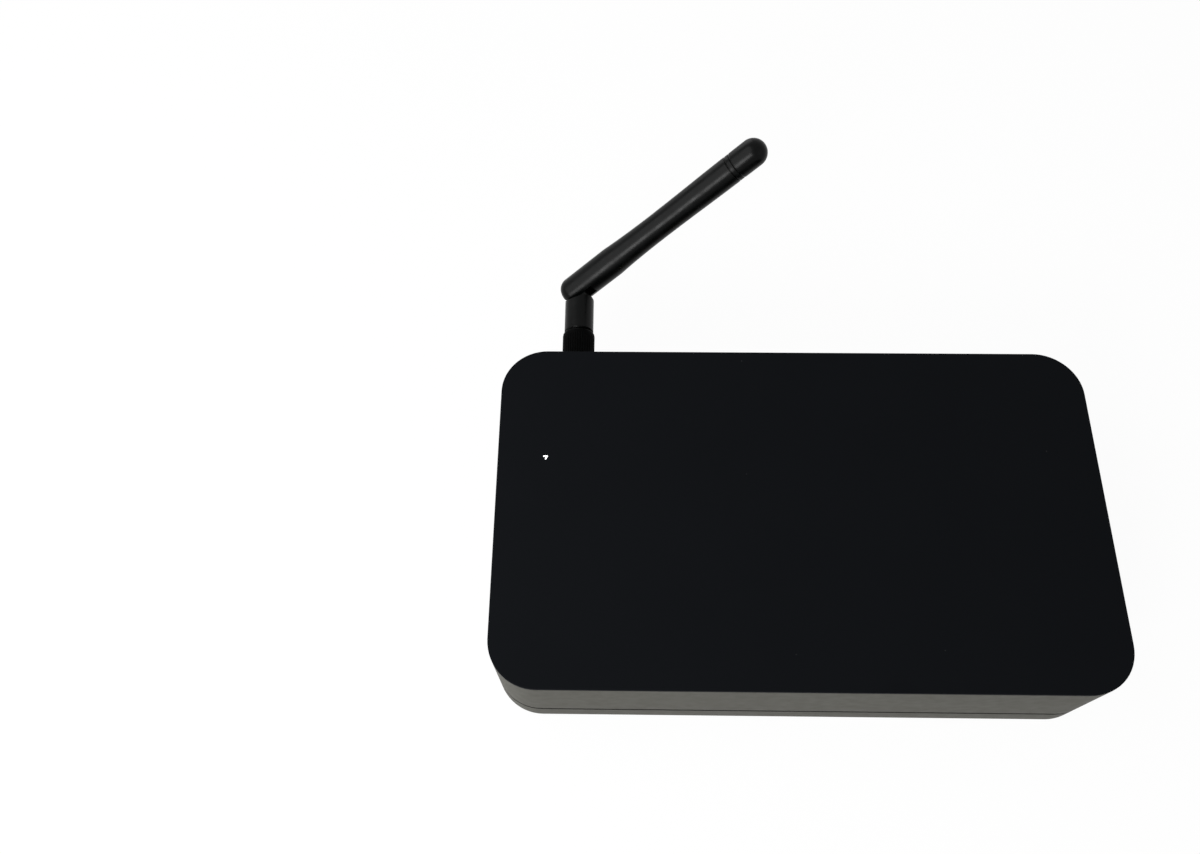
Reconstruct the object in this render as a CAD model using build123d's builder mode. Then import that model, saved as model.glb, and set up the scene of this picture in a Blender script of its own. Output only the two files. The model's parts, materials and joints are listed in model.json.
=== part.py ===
from build123d import *
from math import cos, hypot, pi, radians, sin, sqrt, tan
import os

# A wireless audio hub: a slab-shaped case on a ring foot, with sockets and a swivelling
# antenna on its back. Millimetres. The origin is the middle of the ring foot's underside,
# +X is the hub's right side as seen from the front, +Y is its back and +Z is up.

# Case
hub_width = 184.0
hub_depth = 108.4
hub_height = 37.7
corner_radius = 14.4
seam_share = 0.743
seam_below_top = round(seam_share * hub_height, 1)
case_wall = 2.2
floor_thickness = 2.4
cover_thickness = 1.2
cover_edge_round = 0.3
base_edge_round = 0.6
shadow_gap_height = 1.1
shadow_gap_depth = 0.9
lip_height = 2.0
lip_thickness = 1.2
slip = 0.15
running = 0.07

# Ring foot
foot_lift = 1.5
foot_groove_depth = 1.0
foot_ring_inset = 17.0
foot_ring_band = 5.0
foot_ring_radius = 10.0
foot_edge_round = 0.4

# Screws that hold the two housings together
pillar_inset = 10.0
pillar_radius = 3.3
boss_radius = 4.0
rib_thickness = 1.6
case_screw_radius = 1.3
case_screw_head_radius = 2.4
case_screw_head_height = 1.7
case_screw_recess = 4.2
case_screw_grip = 9.0

# Cover snaps
snap_length = 9.0
snap_height = 0.8
snap_reach = 0.45
snap_below_cover = 0.9

# Main board
board_thickness = 1.6
board_above_seam = 1.4
board_side_gap = 8.0
board_rear_gap = 4.0
board_front_gap = 18.0
board_notch = 6.0
post_radius = 3.0
board_screw_radius = 1.3
board_screw_head_radius = 2.5
board_screw_head_height = 1.6
board_screw_grip = 4.5
board_hole_side_gap = 5.0
board_hole_rear_gap = 20.0
board_hole_front_gap = 8.0

# Socket panel
panel_left_gap = 34.5
panel_corner_gap = 2.1
panel_right_gap = corner_radius + panel_corner_gap
panel_height = 16.5
panel_recess = 0.8
panel_thickness = 1.4
panel_flange = 1.5
panel_flange_thickness = 1.2
socket_clearance = 0.2

# Status light
light_side_gap = 14.8
light_rear_gap = 37.3
light_pipe_radius = 1.6
light_arm_length = 1.0
light_arm_width = 0.45
light_arm_angle = 62.0
light_turn = 213.0
light_collar_height = 3.0
light_collar_wall = 1.0
led_width = 3.2
led_depth = 1.6
led_height = 1.1

# Antenna, with its plug on the case wall
antenna_side_gap = 23.6
antenna_below_top = 13.8
thread_radius = 3.175
thread_end = 10.0
washer_thickness = 0.6
washer_radius = 5.2
hex_nut_width = 8.0
hex_nut_thickness = 2.0
coupling_start = 3.2
coupling_end = 14.1
coupling_radius = 5.38
flute_count = 40
flute_radius = 0.24
swivel_radius = 4.9
swivel_start = 14.4
elbow_reach = 33.1
shoulder_clearance = 0.3
knuckle_radius = 3.5
tongue_thickness = 3.4
tongue_clearance = 0.2
elbow_pin_radius = 1.0
elbow_pin_length = 7.6
rest_tilt = 72.2
rest_swivel = 38.0
arm_length = 79.2
arm_root_radius = 5.1
arm_root_reach = 6.65
arm_root_round = 3.9
arm_root_straight = 15.0
arm_waist_radius = 4.44
arm_waist_at = 36.5
arm_tip_radius = 4.67
arm_sleeve_end = 66.0
arm_slot_depth = 5.0
arm_bore_radius = 2.5
tip_groove = 0.45
tip_groove_depth = 0.6
tip_band = 1.3

# Derived levels and planes
root_round_back = arm_root_reach - arm_root_round
root_round_out = arm_root_radius - arm_root_round
scoop_radius = hypot(root_round_back, root_round_out) + arm_root_round + shoulder_clearance
shoulder_drop = arm_root_radius + shoulder_clearance
base_z = foot_lift
top_z = foot_lift + hub_height
cover_z = top_z - cover_thickness
seam_z = top_z - seam_below_top
floor_z = base_z + floor_thickness
board_top_z = seam_z + board_above_seam
board_z = board_top_z - board_thickness
rear_y = hub_depth / 2
rear_inside_y = rear_y - case_wall
panel_face_y = rear_y - panel_recess
side_x = hub_width / 2
inner_width = hub_width - 2 * case_wall
inner_depth = hub_depth - 2 * case_wall
inner_radius = corner_radius - case_wall
pillar_x = side_x - pillar_inset
pillar_y = rear_y - pillar_inset
pillar_points = [(x, y) for x in (-pillar_x, pillar_x) for y in (-pillar_y, pillar_y)]

os.makedirs("parts", exist_ok=True)


def save(piece, name):
    """Label a finished piece and write its STEP file."""
    piece.part.label = name
    export_step(piece.part, f"parts/{name}.step")


def rear_plane(y):
    """Upright plane at y, seen from behind: its normal points to +Y, local Y is up."""
    return Plane(origin=(0, y, 0), x_dir=(-1, 0, 0), z_dir=(0, 1, 0))


# Places along the rear panel, from the antenna's side: each socket gets an equal gap
panel_left = -side_x + panel_left_gap
panel_right = side_x - panel_right_gap
panel_z = seam_z
aux_width = 7.0
phono_width = 10.4
optical_width = 9.8
hdmi_width = 15.0
usb_width = 13.1
dc_width = 9.4
socket_widths = [aux_width] + [phono_width] * 3 + [optical_width] * 3 + [hdmi_width, usb_width, dc_width]
socket_gap = (panel_right - panel_left - sum(socket_widths)) / (len(socket_widths) + 1)
socket_x = []
edge_x = panel_left
for width in socket_widths:
    edge_x += socket_gap
    socket_x.append(edge_x + width / 2)
    edge_x += width
aux_x, line_left_x, line_right_x, coax_x = socket_x[0:4]
optical_x = socket_x[4:7]
hdmi_x, usb_x, dc_x = socket_x[7:10]
phono_x = [line_left_x, line_right_x, coax_x]

# Top cover
window_x = -side_x + light_side_gap
window_y = rear_y - light_rear_gap
lip_width = inner_width - 2 * slip
lip_depth = inner_depth - 2 * slip
lip_radius = inner_radius - slip
snap_z = cover_z - snap_below_cover
snap_x = hub_width / 4
side_snap_y = hub_depth / 6


def arrowhead():
    """Two rounded strokes that meet at a point, centred on the origin."""
    half_angle = light_arm_angle / 2
    apex_reach = -2 / 3 * light_arm_length * cos(radians(half_angle))
    apex = Vector(apex_reach, 0).rotate(Axis.Z, light_turn)
    for turn in (light_turn - half_angle, light_turn + half_angle):
        middle = apex + Vector(light_arm_length / 2, 0).rotate(Axis.Z, turn)
        with Locations(Location((middle.X, middle.Y, 0), (0, 0, turn))):
            SlotCenterToCenter(light_arm_length, light_arm_width)


with BuildPart() as top_cover:
    with BuildSketch(Plane.XY.offset(cover_z)):
        RectangleRounded(hub_width, hub_depth, corner_radius)
    extrude(amount=cover_thickness)
    fillet(top_cover.faces().sort_by(Axis.Z)[-1].edges(), cover_edge_round)
    with BuildSketch(Plane.XY.offset(cover_z)):
        RectangleRounded(lip_width, lip_depth, lip_radius)
        offset(amount=-lip_thickness, mode=Mode.SUBTRACT)
    extrude(amount=-lip_height)
    for side in (-1, 1):
        for x in (-snap_x, snap_x):
            with Locations((x, side * (lip_depth / 2 + snap_reach / 2), snap_z)):
                Box(snap_length, snap_reach, snap_height)
        for y in (-side_snap_y, side_snap_y):
            with Locations((side * (lip_width / 2 + snap_reach / 2), y, snap_z)):
                Box(snap_reach, snap_length, snap_height)
    with BuildSketch(Plane.XY.offset(cover_z)):
        with Locations((window_x, window_y)):
            Circle(light_pipe_radius + slip + light_collar_wall)
            Circle(light_pipe_radius + slip, mode=Mode.SUBTRACT)
    extrude(amount=-light_collar_height)
    with BuildSketch(Plane(origin=(window_x, window_y, cover_z))):
        arrowhead()
    extrude(amount=cover_thickness, mode=Mode.SUBTRACT)
save(top_cover, "top_cover")

# Upper housing: the wall ring, four screw pillars with ribs, and the window for the panel
pillar_top_z = cover_z - lip_height - 2 * slip
antenna_x = -side_x + antenna_side_gap
antenna_z = top_z - antenna_below_top
snap_room = 0.3

with BuildPart() as upper_housing:
    with BuildSketch(Plane.XY.offset(seam_z)):
        RectangleRounded(hub_width, hub_depth, corner_radius)
        RectangleRounded(inner_width, inner_depth, inner_radius, mode=Mode.SUBTRACT)
    extrude(amount=cover_z - seam_z)
    with BuildSketch(Plane.XY.offset(seam_z)):
        with Locations(*pillar_points):
            Circle(pillar_radius)
    extrude(amount=pillar_top_z - seam_z)
    rib_z = seam_z + lip_height + 2 * slip
    with BuildSketch(Plane.XY.offset(rib_z)):
        for x, y in pillar_points:
            with Locations((x + (pillar_inset / 2 if x > 0 else -pillar_inset / 2), y)):
                Rectangle(pillar_inset, rib_thickness)
            with Locations((x, y + (pillar_inset / 2 if y > 0 else -pillar_inset / 2))):
                Rectangle(rib_thickness, pillar_inset)
        middle_radius = corner_radius - case_wall / 2
        RectangleRounded(hub_width - case_wall, hub_depth - case_wall, middle_radius, mode=Mode.INTERSECT)
    extrude(amount=pillar_top_z - rib_z)
    with BuildSketch(Plane.XY.offset(seam_z)):
        with Locations(*pillar_points):
            Circle(case_screw_radius)
    extrude(amount=case_screw_grip, mode=Mode.SUBTRACT)
    with BuildSketch(rear_plane(rear_y)):
        with Locations((-(panel_left + panel_right) / 2, panel_z)):
            Rectangle(panel_right - panel_left, panel_height, align=(Align.CENTER, Align.MIN))
        with Locations((-antenna_x, antenna_z)):
            Circle(thread_radius + slip)
    extrude(amount=-case_wall, mode=Mode.SUBTRACT)
    for side in (-1, 1):
        for x in (-snap_x, snap_x):
            with Locations((x, side * (inner_depth / 2 + snap_reach / 2), snap_z)):
                Box(snap_length + 2 * snap_room, snap_reach, snap_height + snap_room, mode=Mode.SUBTRACT)
        for y in (-side_snap_y, side_snap_y):
            with Locations((side * (inner_width / 2 + snap_reach / 2), y, snap_z)):
                Box(snap_reach, snap_length + 2 * snap_room, snap_height + snap_room, mode=Mode.SUBTRACT)
save(upper_housing, "upper_housing")

# Lower housing: the tray, its seam lip, screw bosses, board posts, vents and foot groove
ring_width = hub_width - 2 * foot_ring_inset
ring_depth = hub_depth - 2 * foot_ring_inset
board_side_x = side_x - board_side_gap
board_rear_y = rear_y - board_rear_gap
board_front_y = -rear_y + board_front_gap
board_hole_x = board_side_x - board_hole_side_gap
board_hole_points = [
    (x, y)
    for x in (-board_hole_x, board_hole_x)
    for y in (board_front_y + board_hole_front_gap, board_rear_y - board_hole_rear_gap)
]
seam_lip_cut = panel_flange + 2 * slip
vent_columns = 5
vent_rows = 5
vent_length = 18.0
vent_width = 2.0
vent_pitch_x = 24.0
vent_pitch_y = 7.0
boss_hole_radius = case_screw_radius + slip
case_screw_seat_z = base_z + case_screw_recess

with BuildPart() as lower_housing:
    with BuildSketch(Plane.XY.offset(base_z)):
        RectangleRounded(hub_width, hub_depth, corner_radius)
    extrude(amount=seam_z - base_z)
    fillet(lower_housing.faces().sort_by(Axis.Z)[0].edges(), base_edge_round)
    with BuildSketch(Plane.XY.offset(floor_z)):
        RectangleRounded(inner_width, inner_depth, inner_radius)
    extrude(amount=seam_z - floor_z, mode=Mode.SUBTRACT)
    with BuildSketch(Plane.XY.offset(seam_z - shadow_gap_height)):
        RectangleRounded(hub_width, hub_depth, corner_radius)
        offset(amount=-shadow_gap_depth, mode=Mode.SUBTRACT)
    extrude(amount=shadow_gap_height, mode=Mode.SUBTRACT)
    lip_hole = (lip_width - 2 * lip_thickness, lip_depth - 2 * lip_thickness, lip_radius - lip_thickness)
    with BuildSketch(Plane.XY.offset(seam_z - lip_height)):
        RectangleRounded(inner_width, inner_depth, inner_radius)
        RectangleRounded(*lip_hole, mode=Mode.SUBTRACT)
    extrude(amount=lip_height)
    with BuildSketch(Plane.XY.offset(seam_z)):
        RectangleRounded(lip_width, lip_depth, lip_radius)
        RectangleRounded(*lip_hole, mode=Mode.SUBTRACT)
        with Locations(((panel_left + panel_right) / 2, rear_y)):
            Rectangle(panel_right - panel_left + 2 * seam_lip_cut, 4 * case_wall, mode=Mode.SUBTRACT)
    extrude(amount=lip_height)
    with BuildSketch(Plane.XY.offset(floor_z)):
        with Locations(*pillar_points):
            Circle(boss_radius)
    extrude(amount=seam_z - floor_z)
    with BuildSketch(Plane.XY.offset(floor_z)):
        with Locations(*board_hole_points):
            Circle(post_radius)
    extrude(amount=board_z - floor_z)
    with BuildSketch(Plane.XY.offset(base_z)):
        with Locations(*pillar_points):
            Circle(case_screw_head_radius + slip)
    extrude(amount=case_screw_recess, mode=Mode.SUBTRACT)
    with BuildSketch(Plane.XY.offset(case_screw_seat_z)):
        with Locations(*pillar_points):
            Circle(boss_hole_radius)
    extrude(amount=seam_z - case_screw_seat_z, mode=Mode.SUBTRACT)
    with BuildSketch(Plane.XY.offset(board_z)):
        with Locations(*board_hole_points):
            Circle(board_screw_radius)
    extrude(amount=-(board_screw_grip - board_thickness), mode=Mode.SUBTRACT)
    with BuildSketch(Plane.XY.offset(base_z)):
        RectangleRounded(ring_width, ring_depth, foot_ring_radius)
        offset(amount=-foot_ring_band, mode=Mode.SUBTRACT)
    extrude(amount=foot_groove_depth, mode=Mode.SUBTRACT)
    with BuildSketch(Plane.XY.offset(base_z)):
        with GridLocations(vent_pitch_x, vent_pitch_y, vent_columns, vent_rows):
            SlotOverall(vent_length, vent_width)
    extrude(amount=floor_thickness, mode=Mode.SUBTRACT)
save(lower_housing, "lower_housing")

# Ring foot: one closed rubber ring, pressed into the floor's groove
with BuildPart() as foot_ring:
    with BuildSketch(Plane.XY):
        RectangleRounded(ring_width, ring_depth, foot_ring_radius)
        offset(amount=-foot_ring_band, mode=Mode.SUBTRACT)
    extrude(amount=foot_lift + foot_groove_depth)
    fillet(foot_ring.faces().sort_by(Axis.Z)[0].edges(), foot_edge_round)
save(foot_ring, "foot_ring")

# Case screws, driven from below into the pillars
recess_radius = 1.1
recess_depth = 0.9
with BuildPart() as housing_screws:
    with BuildSketch(Plane.XY.offset(case_screw_seat_z)):
        with Locations(*pillar_points):
            Circle(case_screw_head_radius)
    extrude(amount=-case_screw_head_height)
    fillet(housing_screws.faces().group_by(Axis.Z)[0].edges(), case_screw_head_height / 3)
    with BuildSketch(Plane.XY.offset(case_screw_seat_z)):
        with Locations(*pillar_points):
            Circle(case_screw_radius)
    extrude(amount=seam_z - case_screw_seat_z + case_screw_grip)
    with BuildSketch(Plane.XY.offset(case_screw_seat_z - case_screw_head_height)):
        with Locations(*pillar_points):
            RegularPolygon(recess_radius, 6)
    extrude(amount=recess_depth, mode=Mode.SUBTRACT)
save(housing_screws, "housing_screws")

# Status light: a clear pipe from the board's lamp to the arrowhead window in the cover
pipe_z = board_top_z + led_height + slip
with BuildPart() as light_pipe:
    with BuildSketch(Plane((window_x, window_y, pipe_z))):
        Circle(light_pipe_radius)
    extrude(amount=cover_z - pipe_z)
    with BuildSketch(Plane((window_x, window_y, cover_z))):
        arrowhead()
    extrude(amount=cover_thickness)
save(light_pipe, "light_pipe")

with BuildPart() as status_led:
    with Locations((window_x, window_y, board_top_z)):
        Box(led_width, led_depth, led_height, align=(Align.CENTER, Align.CENTER, Align.MIN))
save(status_led, "status_led")

# Socket shapes that the panel is cut for
panel_cut_y = panel_face_y - panel_thickness - panel_flange_thickness
optical_height = 10.0
optical_depth = 13.8
hdmi_height = 5.5
hdmi_lift = 0.4
hdmi_depth = 11.5
hdmi_corner = 1.6
hdmi_corner_slope = 1.4
shell_thickness = 0.35
usb_height = 5.7
usb_lift = 0.4
usb_depth = 14.0
dc_height = 11.0
dc_depth = 14.4
phono_axis_height = 7.0
phono_body_height = 12.6
phono_body_depth = 9.0
phono_barrel_radius = 4.15
phono_barrel_wall = 0.45
phono_reach = 9.0
phono_bore_radius = 1.6
phono_contact_radius = 2.1
aux_axis_height = 3.4
aux_body_height = 6.4
aux_depth = 12.0
aux_bush_radius = 2.9
aux_bore_radius = 1.8
phono_z = board_top_z + phono_axis_height
aux_z = board_top_z + aux_axis_height
jack_screw_radius = 1.2
jack_screw_head_radius = 2.2
jack_screw_grip = 6.0
jack_screw_height = 5.4
jack_screw_offset = 3.8
jack_screw_points = [
    (x, phono_z + jack_screw_height) for x in ((line_left_x + line_right_x) / 2, coax_x + jack_screw_offset)
]


def hdmi_outline(inset):
    """HDMI-shaped opening on the rear plane, drawn in from the shell's outside by inset."""
    half = hdmi_width / 2 - inset
    low = board_top_z + hdmi_lift + inset
    high = board_top_z + hdmi_lift + hdmi_height - inset
    cut = hdmi_corner - inset * (2 - sqrt(2))
    Polygon(
        (-hdmi_x - half, high),
        (-hdmi_x - half, low + hdmi_corner_slope * cut),
        (-hdmi_x - half + cut, low),
        (-hdmi_x + half - cut, low),
        (-hdmi_x + half, low + hdmi_corner_slope * cut),
        (-hdmi_x + half, high),
        align=None,
    )


with BuildPart() as rear_panel:
    middle_x = -(panel_left + panel_right) / 2
    window_width = panel_right - panel_left
    with BuildSketch(rear_plane(panel_face_y)):
        with Locations((middle_x, panel_z)):
            Rectangle(window_width - 2 * slip, panel_height - slip, align=(Align.CENTER, Align.MIN))
    extrude(amount=-panel_thickness)
    with BuildSketch(rear_plane(panel_face_y - panel_thickness)):
        with Locations((middle_x, panel_z)):
            flange_width = window_width + 2 * panel_flange
            Rectangle(flange_width, panel_height + panel_flange, align=(Align.CENTER, Align.MIN))
    extrude(amount=-panel_flange_thickness)
    with BuildSketch(rear_plane(panel_face_y)):
        with Locations((-aux_x, aux_z)):
            Circle(aux_bush_radius + socket_clearance)
        for x in phono_x:
            with Locations((-x, phono_z)):
                Circle(phono_barrel_radius + socket_clearance)
        for x in optical_x:
            with Locations((-x, board_top_z + optical_height / 2)):
                Rectangle(optical_width + 2 * socket_clearance, optical_height + 2 * socket_clearance)
        hdmi_outline(-socket_clearance)
        with Locations((-usb_x, board_top_z + usb_lift + usb_height / 2)):
            Rectangle(usb_width + 2 * socket_clearance, usb_height + 2 * socket_clearance)
        with Locations((-dc_x, board_top_z + dc_height / 2)):
            Rectangle(dc_width + 2 * socket_clearance, dc_height + 2 * socket_clearance)
        for x, z in jack_screw_points:
            with Locations((-x, z)):
                Circle(jack_screw_radius + slip)
    extrude(amount=-(panel_face_y - panel_cut_y), mode=Mode.SUBTRACT)
save(rear_panel, "rear_panel")

# Main board, notched round the rear pillars and slotted for the legs of the metal sockets
hdmi_leg_length = 1.6
usb_leg_length = 2.4
leg_inset = 2.0
hdmi_legs = [
    (hdmi_x + side * (hdmi_width - shell_thickness) / 2, y, hdmi_leg_length)
    for side in (-1, 1)
    for y in (panel_cut_y - leg_inset, panel_face_y - hdmi_depth + leg_inset)
]
usb_legs = [
    (usb_x + side * (usb_width - shell_thickness) / 2, panel_cut_y - 2 * leg_inset, usb_leg_length)
    for side in (-1, 1)
]
notch_x = pillar_x - boss_radius - 2 * slip
notch_y = pillar_y - board_notch
with BuildPart() as main_board:
    with BuildSketch(Plane.XY.offset(board_z)):
        with Locations((0, (board_front_y + board_rear_y) / 2)):
            Rectangle(2 * board_side_x, board_rear_y - board_front_y)
        for side in (-1, 1):
            with Locations((side * notch_x, notch_y)):
                corner = (Align.MIN if side > 0 else Align.MAX, Align.MIN)
                Rectangle(hub_width, hub_depth, align=corner, mode=Mode.SUBTRACT)
        with Locations(*board_hole_points):
            Circle(board_screw_radius + slip, mode=Mode.SUBTRACT)
        for x, y, length in hdmi_legs + usb_legs:
            with Locations((x, y)):
                Rectangle(shell_thickness + 2 * slip, length + 2 * slip, mode=Mode.SUBTRACT)
    extrude(amount=board_thickness)
save(main_board, "main_board")

with BuildPart() as board_screws:
    with BuildSketch(Plane.XY.offset(board_top_z)):
        with Locations(*board_hole_points):
            Circle(board_screw_head_radius)
    extrude(amount=board_screw_head_height)
    fillet(board_screws.faces().group_by(Axis.Z)[-1].edges(), board_screw_head_height / 3)
    with BuildSketch(Plane.XY.offset(board_top_z)):
        with Locations(*board_hole_points):
            Circle(board_screw_radius)
    extrude(amount=-board_screw_grip)
    with BuildSketch(Plane.XY.offset(board_top_z + board_screw_head_height)):
        with Locations(*board_hole_points):
            RegularPolygon(recess_radius, 6)
    extrude(amount=-recess_depth, mode=Mode.SUBTRACT)
save(board_screws, "board_screws")

# HDMI socket: a folded metal shell round a moulded core with its tongue
hdmi_tongue_width = 10.8
hdmi_tongue_height = 1.5
hdmi_tongue_rise = 3.2
hdmi_tongue_z = board_top_z + hdmi_lift + hdmi_tongue_rise
tongue_recess = 1.6
core_depth = 3.0


def shell_legs(places, height):
    """Legs of a metal shell, from the board's underside to height over its top."""
    for x, y, length in places:
        with Locations((x, y, board_z)):
            leg_size = (shell_thickness, length, board_thickness + height)
            Box(*leg_size, align=(Align.CENTER, Align.CENTER, Align.MIN))


with BuildPart() as hdmi_shell:
    with BuildSketch(rear_plane(panel_face_y)):
        hdmi_outline(0)
    extrude(amount=-hdmi_depth)
    with BuildSketch(rear_plane(panel_face_y)):
        hdmi_outline(shell_thickness)
    extrude(amount=-hdmi_depth, mode=Mode.SUBTRACT)
    shell_legs(hdmi_legs, hdmi_lift + hdmi_height / 2)
save(hdmi_shell, "hdmi_shell")

with BuildPart() as hdmi_insulator:
    with BuildSketch(rear_plane(panel_face_y - hdmi_depth + core_depth)):
        hdmi_outline(shell_thickness)
    extrude(amount=-core_depth)
    with BuildSketch(rear_plane(panel_face_y - tongue_recess)):
        with Locations((-hdmi_x, hdmi_tongue_z)):
            Rectangle(hdmi_tongue_width, hdmi_tongue_height)
    extrude(amount=-(hdmi_depth - tongue_recess))
save(hdmi_insulator, "hdmi_insulator")

# USB socket: a metal shell with rolled lip and a tongue near its top
usb_mid_z = board_top_z + usb_lift + usb_height / 2
usb_tongue_width = 11.1
usb_tongue_height = 1.84
usb_tongue_drop = 0.9
with BuildPart() as usb_shell:
    with BuildSketch(rear_plane(panel_face_y)):
        with Locations((-usb_x, usb_mid_z)):
            Rectangle(usb_width, usb_height)
            Rectangle(usb_width - 2 * shell_thickness, usb_height - 2 * shell_thickness, mode=Mode.SUBTRACT)
    extrude(amount=-usb_depth)
    shell_legs(usb_legs, usb_lift + usb_height / 2)
save(usb_shell, "usb_shell")

with BuildPart() as usb_insulator:
    with BuildSketch(rear_plane(panel_face_y - usb_depth + core_depth)):
        with Locations((-usb_x, usb_mid_z)):
            Rectangle(usb_width - 2 * shell_thickness, usb_height - 2 * shell_thickness)
    extrude(amount=-core_depth)
    with BuildSketch(rear_plane(panel_face_y - tongue_recess)):
        usb_tongue_z = board_top_z + usb_lift + usb_height - shell_thickness - usb_tongue_drop
        with Locations((-usb_x, usb_tongue_z)):
            Rectangle(usb_tongue_width, usb_tongue_height, align=(Align.CENTER, Align.MAX))
    extrude(amount=-(usb_depth - tongue_recess))
save(usb_insulator, "usb_insulator")

# Optical sockets: each has a mouth lip, a cavity with a lamp tube, and a sprung shutter
mouth_width = 6.9
mouth_height = 6.6
mouth_corner = 1.4
mouth_lip = 2.8
cavity_width = 7.8
cavity_height = 7.6
cavity_depth = 9.8
optical_axis_z = board_top_z + optical_height / 2
shutter_gap = 0.2
shutter_thickness = 0.7
trunnion_radius = 0.5
trunnion_length = 0.7
lamp_radius = 1.5
lamp_bore_radius = 1.1
lamp_length = 1.8
cavity_front_y = panel_face_y - mouth_lip
shutter_y = cavity_front_y - shutter_gap - shutter_thickness / 2
shutter_hinge_z = optical_axis_z + cavity_height / 2 - shutter_gap - trunnion_radius
shutter_low_z = optical_axis_z - cavity_height / 2 + shutter_gap


def mouth_outline(x):
    """Optical mouth on the rear plane at x: a square with its two lower corners cut."""
    half = mouth_width / 2
    low = optical_axis_z - mouth_height / 2
    high = optical_axis_z + mouth_height / 2
    Polygon(
        (-x - half, high),
        (-x - half, low + mouth_corner),
        (-x - half + mouth_corner, low),
        (-x + half - mouth_corner, low),
        (-x + half, low + mouth_corner),
        (-x + half, high),
        align=None,
    )


for number, x in enumerate(optical_x, start=1):
    with BuildPart() as optical_socket:
        with BuildSketch(rear_plane(panel_face_y)):
            with Locations((-x, optical_axis_z)):
                Rectangle(optical_width, optical_height)
        extrude(amount=-optical_depth)
        with BuildSketch(rear_plane(panel_face_y)):
            mouth_outline(x)
        extrude(amount=-mouth_lip, mode=Mode.SUBTRACT)
        with BuildSketch(rear_plane(cavity_front_y)):
            with Locations((-x, optical_axis_z)):
                Rectangle(cavity_width, cavity_height)
        extrude(amount=-cavity_depth, mode=Mode.SUBTRACT)
        with BuildSketch(rear_plane(cavity_front_y - cavity_depth)):
            with Locations((-x, optical_axis_z)):
                Circle(lamp_radius)
                Circle(lamp_bore_radius, mode=Mode.SUBTRACT)
        extrude(amount=lamp_length)
        with Locations((x, shutter_y, shutter_hinge_z)):
            socket_hole_length = cavity_width + 2 * trunnion_length + 2 * slip
            hole_radius = trunnion_radius + running
            Cylinder(hole_radius, socket_hole_length, rotation=(0, 90, 0), mode=Mode.SUBTRACT)
    save(optical_socket, f"optical_socket_{number}")

    with BuildPart() as optical_shutter:
        with Locations((x, shutter_y, (shutter_hinge_z + shutter_low_z) / 2)):
            Box(cavity_width - 2 * shutter_gap, shutter_thickness, shutter_hinge_z - shutter_low_z)
        with Locations((x, shutter_y, shutter_hinge_z)):
            Cylinder(trunnion_radius, cavity_width - 2 * shutter_gap, rotation=(0, 90, 0))
            Cylinder(trunnion_radius, cavity_width + 2 * trunnion_length, rotation=(0, 90, 0))
    save(optical_shutter, f"optical_shutter_{number}")

# Phono sockets: moulded bodies, metal barrels, coloured inserts and centre contacts
body_front_y = panel_cut_y
phono_contact_length = 12.0
phono_end_y = panel_face_y + phono_reach
insert_recess = 0.5
barrel_grip = 4.0
barrel_chamfer = 0.2
barrel_root_y = body_front_y - barrel_grip


def phono_body(columns, screw_point):
    """Moulded block behind the panel with a pocket for each barrel and a screw hole."""
    left = min(columns) - phono_width / 2
    right = max(columns) + phono_width / 2
    with Locations(((left + right) / 2, body_front_y, board_top_z)):
        Box(right - left, phono_body_depth, phono_body_height, align=(Align.CENTER, Align.MAX, Align.MIN))
    screw_x, screw_z = screw_point
    with BuildSketch(rear_plane(body_front_y)) as screw_boss:
        with Locations((-screw_x, screw_z)):
            Circle(jack_screw_head_radius)
    extrude(screw_boss.sketch, amount=-phono_body_depth)
    with BuildSketch(rear_plane(body_front_y)) as pockets:
        for column in columns:
            with Locations((-column, phono_z)):
                Circle(phono_barrel_radius)
    extrude(pockets.sketch, amount=-(body_front_y - barrel_root_y), mode=Mode.SUBTRACT)
    with BuildSketch(rear_plane(body_front_y)) as screw_hole:
        with Locations((-screw_x, screw_z)):
            Circle(jack_screw_radius)
    extrude(screw_hole.sketch, amount=-jack_screw_grip, mode=Mode.SUBTRACT)


with BuildPart() as line_jack_body:
    phono_body([line_left_x, line_right_x], jack_screw_points[0])
save(line_jack_body, "line_jack_body")

with BuildPart() as coax_jack_body:
    phono_body([coax_x], jack_screw_points[1])
save(coax_jack_body, "coax_jack_body")

with BuildPart() as phono_barrels:
    with BuildSketch(rear_plane(barrel_root_y)):
        for x in phono_x:
            with Locations((-x, phono_z)):
                Circle(phono_barrel_radius)
                Circle(phono_barrel_radius - phono_barrel_wall, mode=Mode.SUBTRACT)
    extrude(amount=phono_end_y - barrel_root_y)
    rims = phono_barrels.faces().group_by(Axis.Y)[-1].edges().sort_by(SortBy.RADIUS)
    chamfer(rims[-len(phono_x):], barrel_chamfer)
save(phono_barrels, "phono_barrels")

for name, x in (("left", line_left_x), ("right", line_right_x), ("coax", coax_x)):
    with BuildPart() as phono_insert:
        with BuildSketch(rear_plane(barrel_root_y)):
            with Locations((-x, phono_z)):
                Circle(phono_barrel_radius - phono_barrel_wall)
                Circle(phono_contact_radius, mode=Mode.SUBTRACT)
        extrude(amount=phono_end_y - insert_recess - barrel_root_y)
    save(phono_insert, f"phono_insert_{name}")

with BuildPart() as phono_contacts:
    with BuildSketch(rear_plane(barrel_root_y)):
        for x in phono_x:
            with Locations((-x, phono_z)):
                Circle(phono_contact_radius)
    extrude(amount=phono_end_y - insert_recess - barrel_root_y)
    with BuildSketch(rear_plane(phono_end_y - insert_recess)):
        for x in phono_x:
            with Locations((-x, phono_z)):
                Circle(phono_bore_radius)
    extrude(amount=-phono_contact_length, mode=Mode.SUBTRACT)
save(phono_contacts, "phono_contacts")

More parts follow.
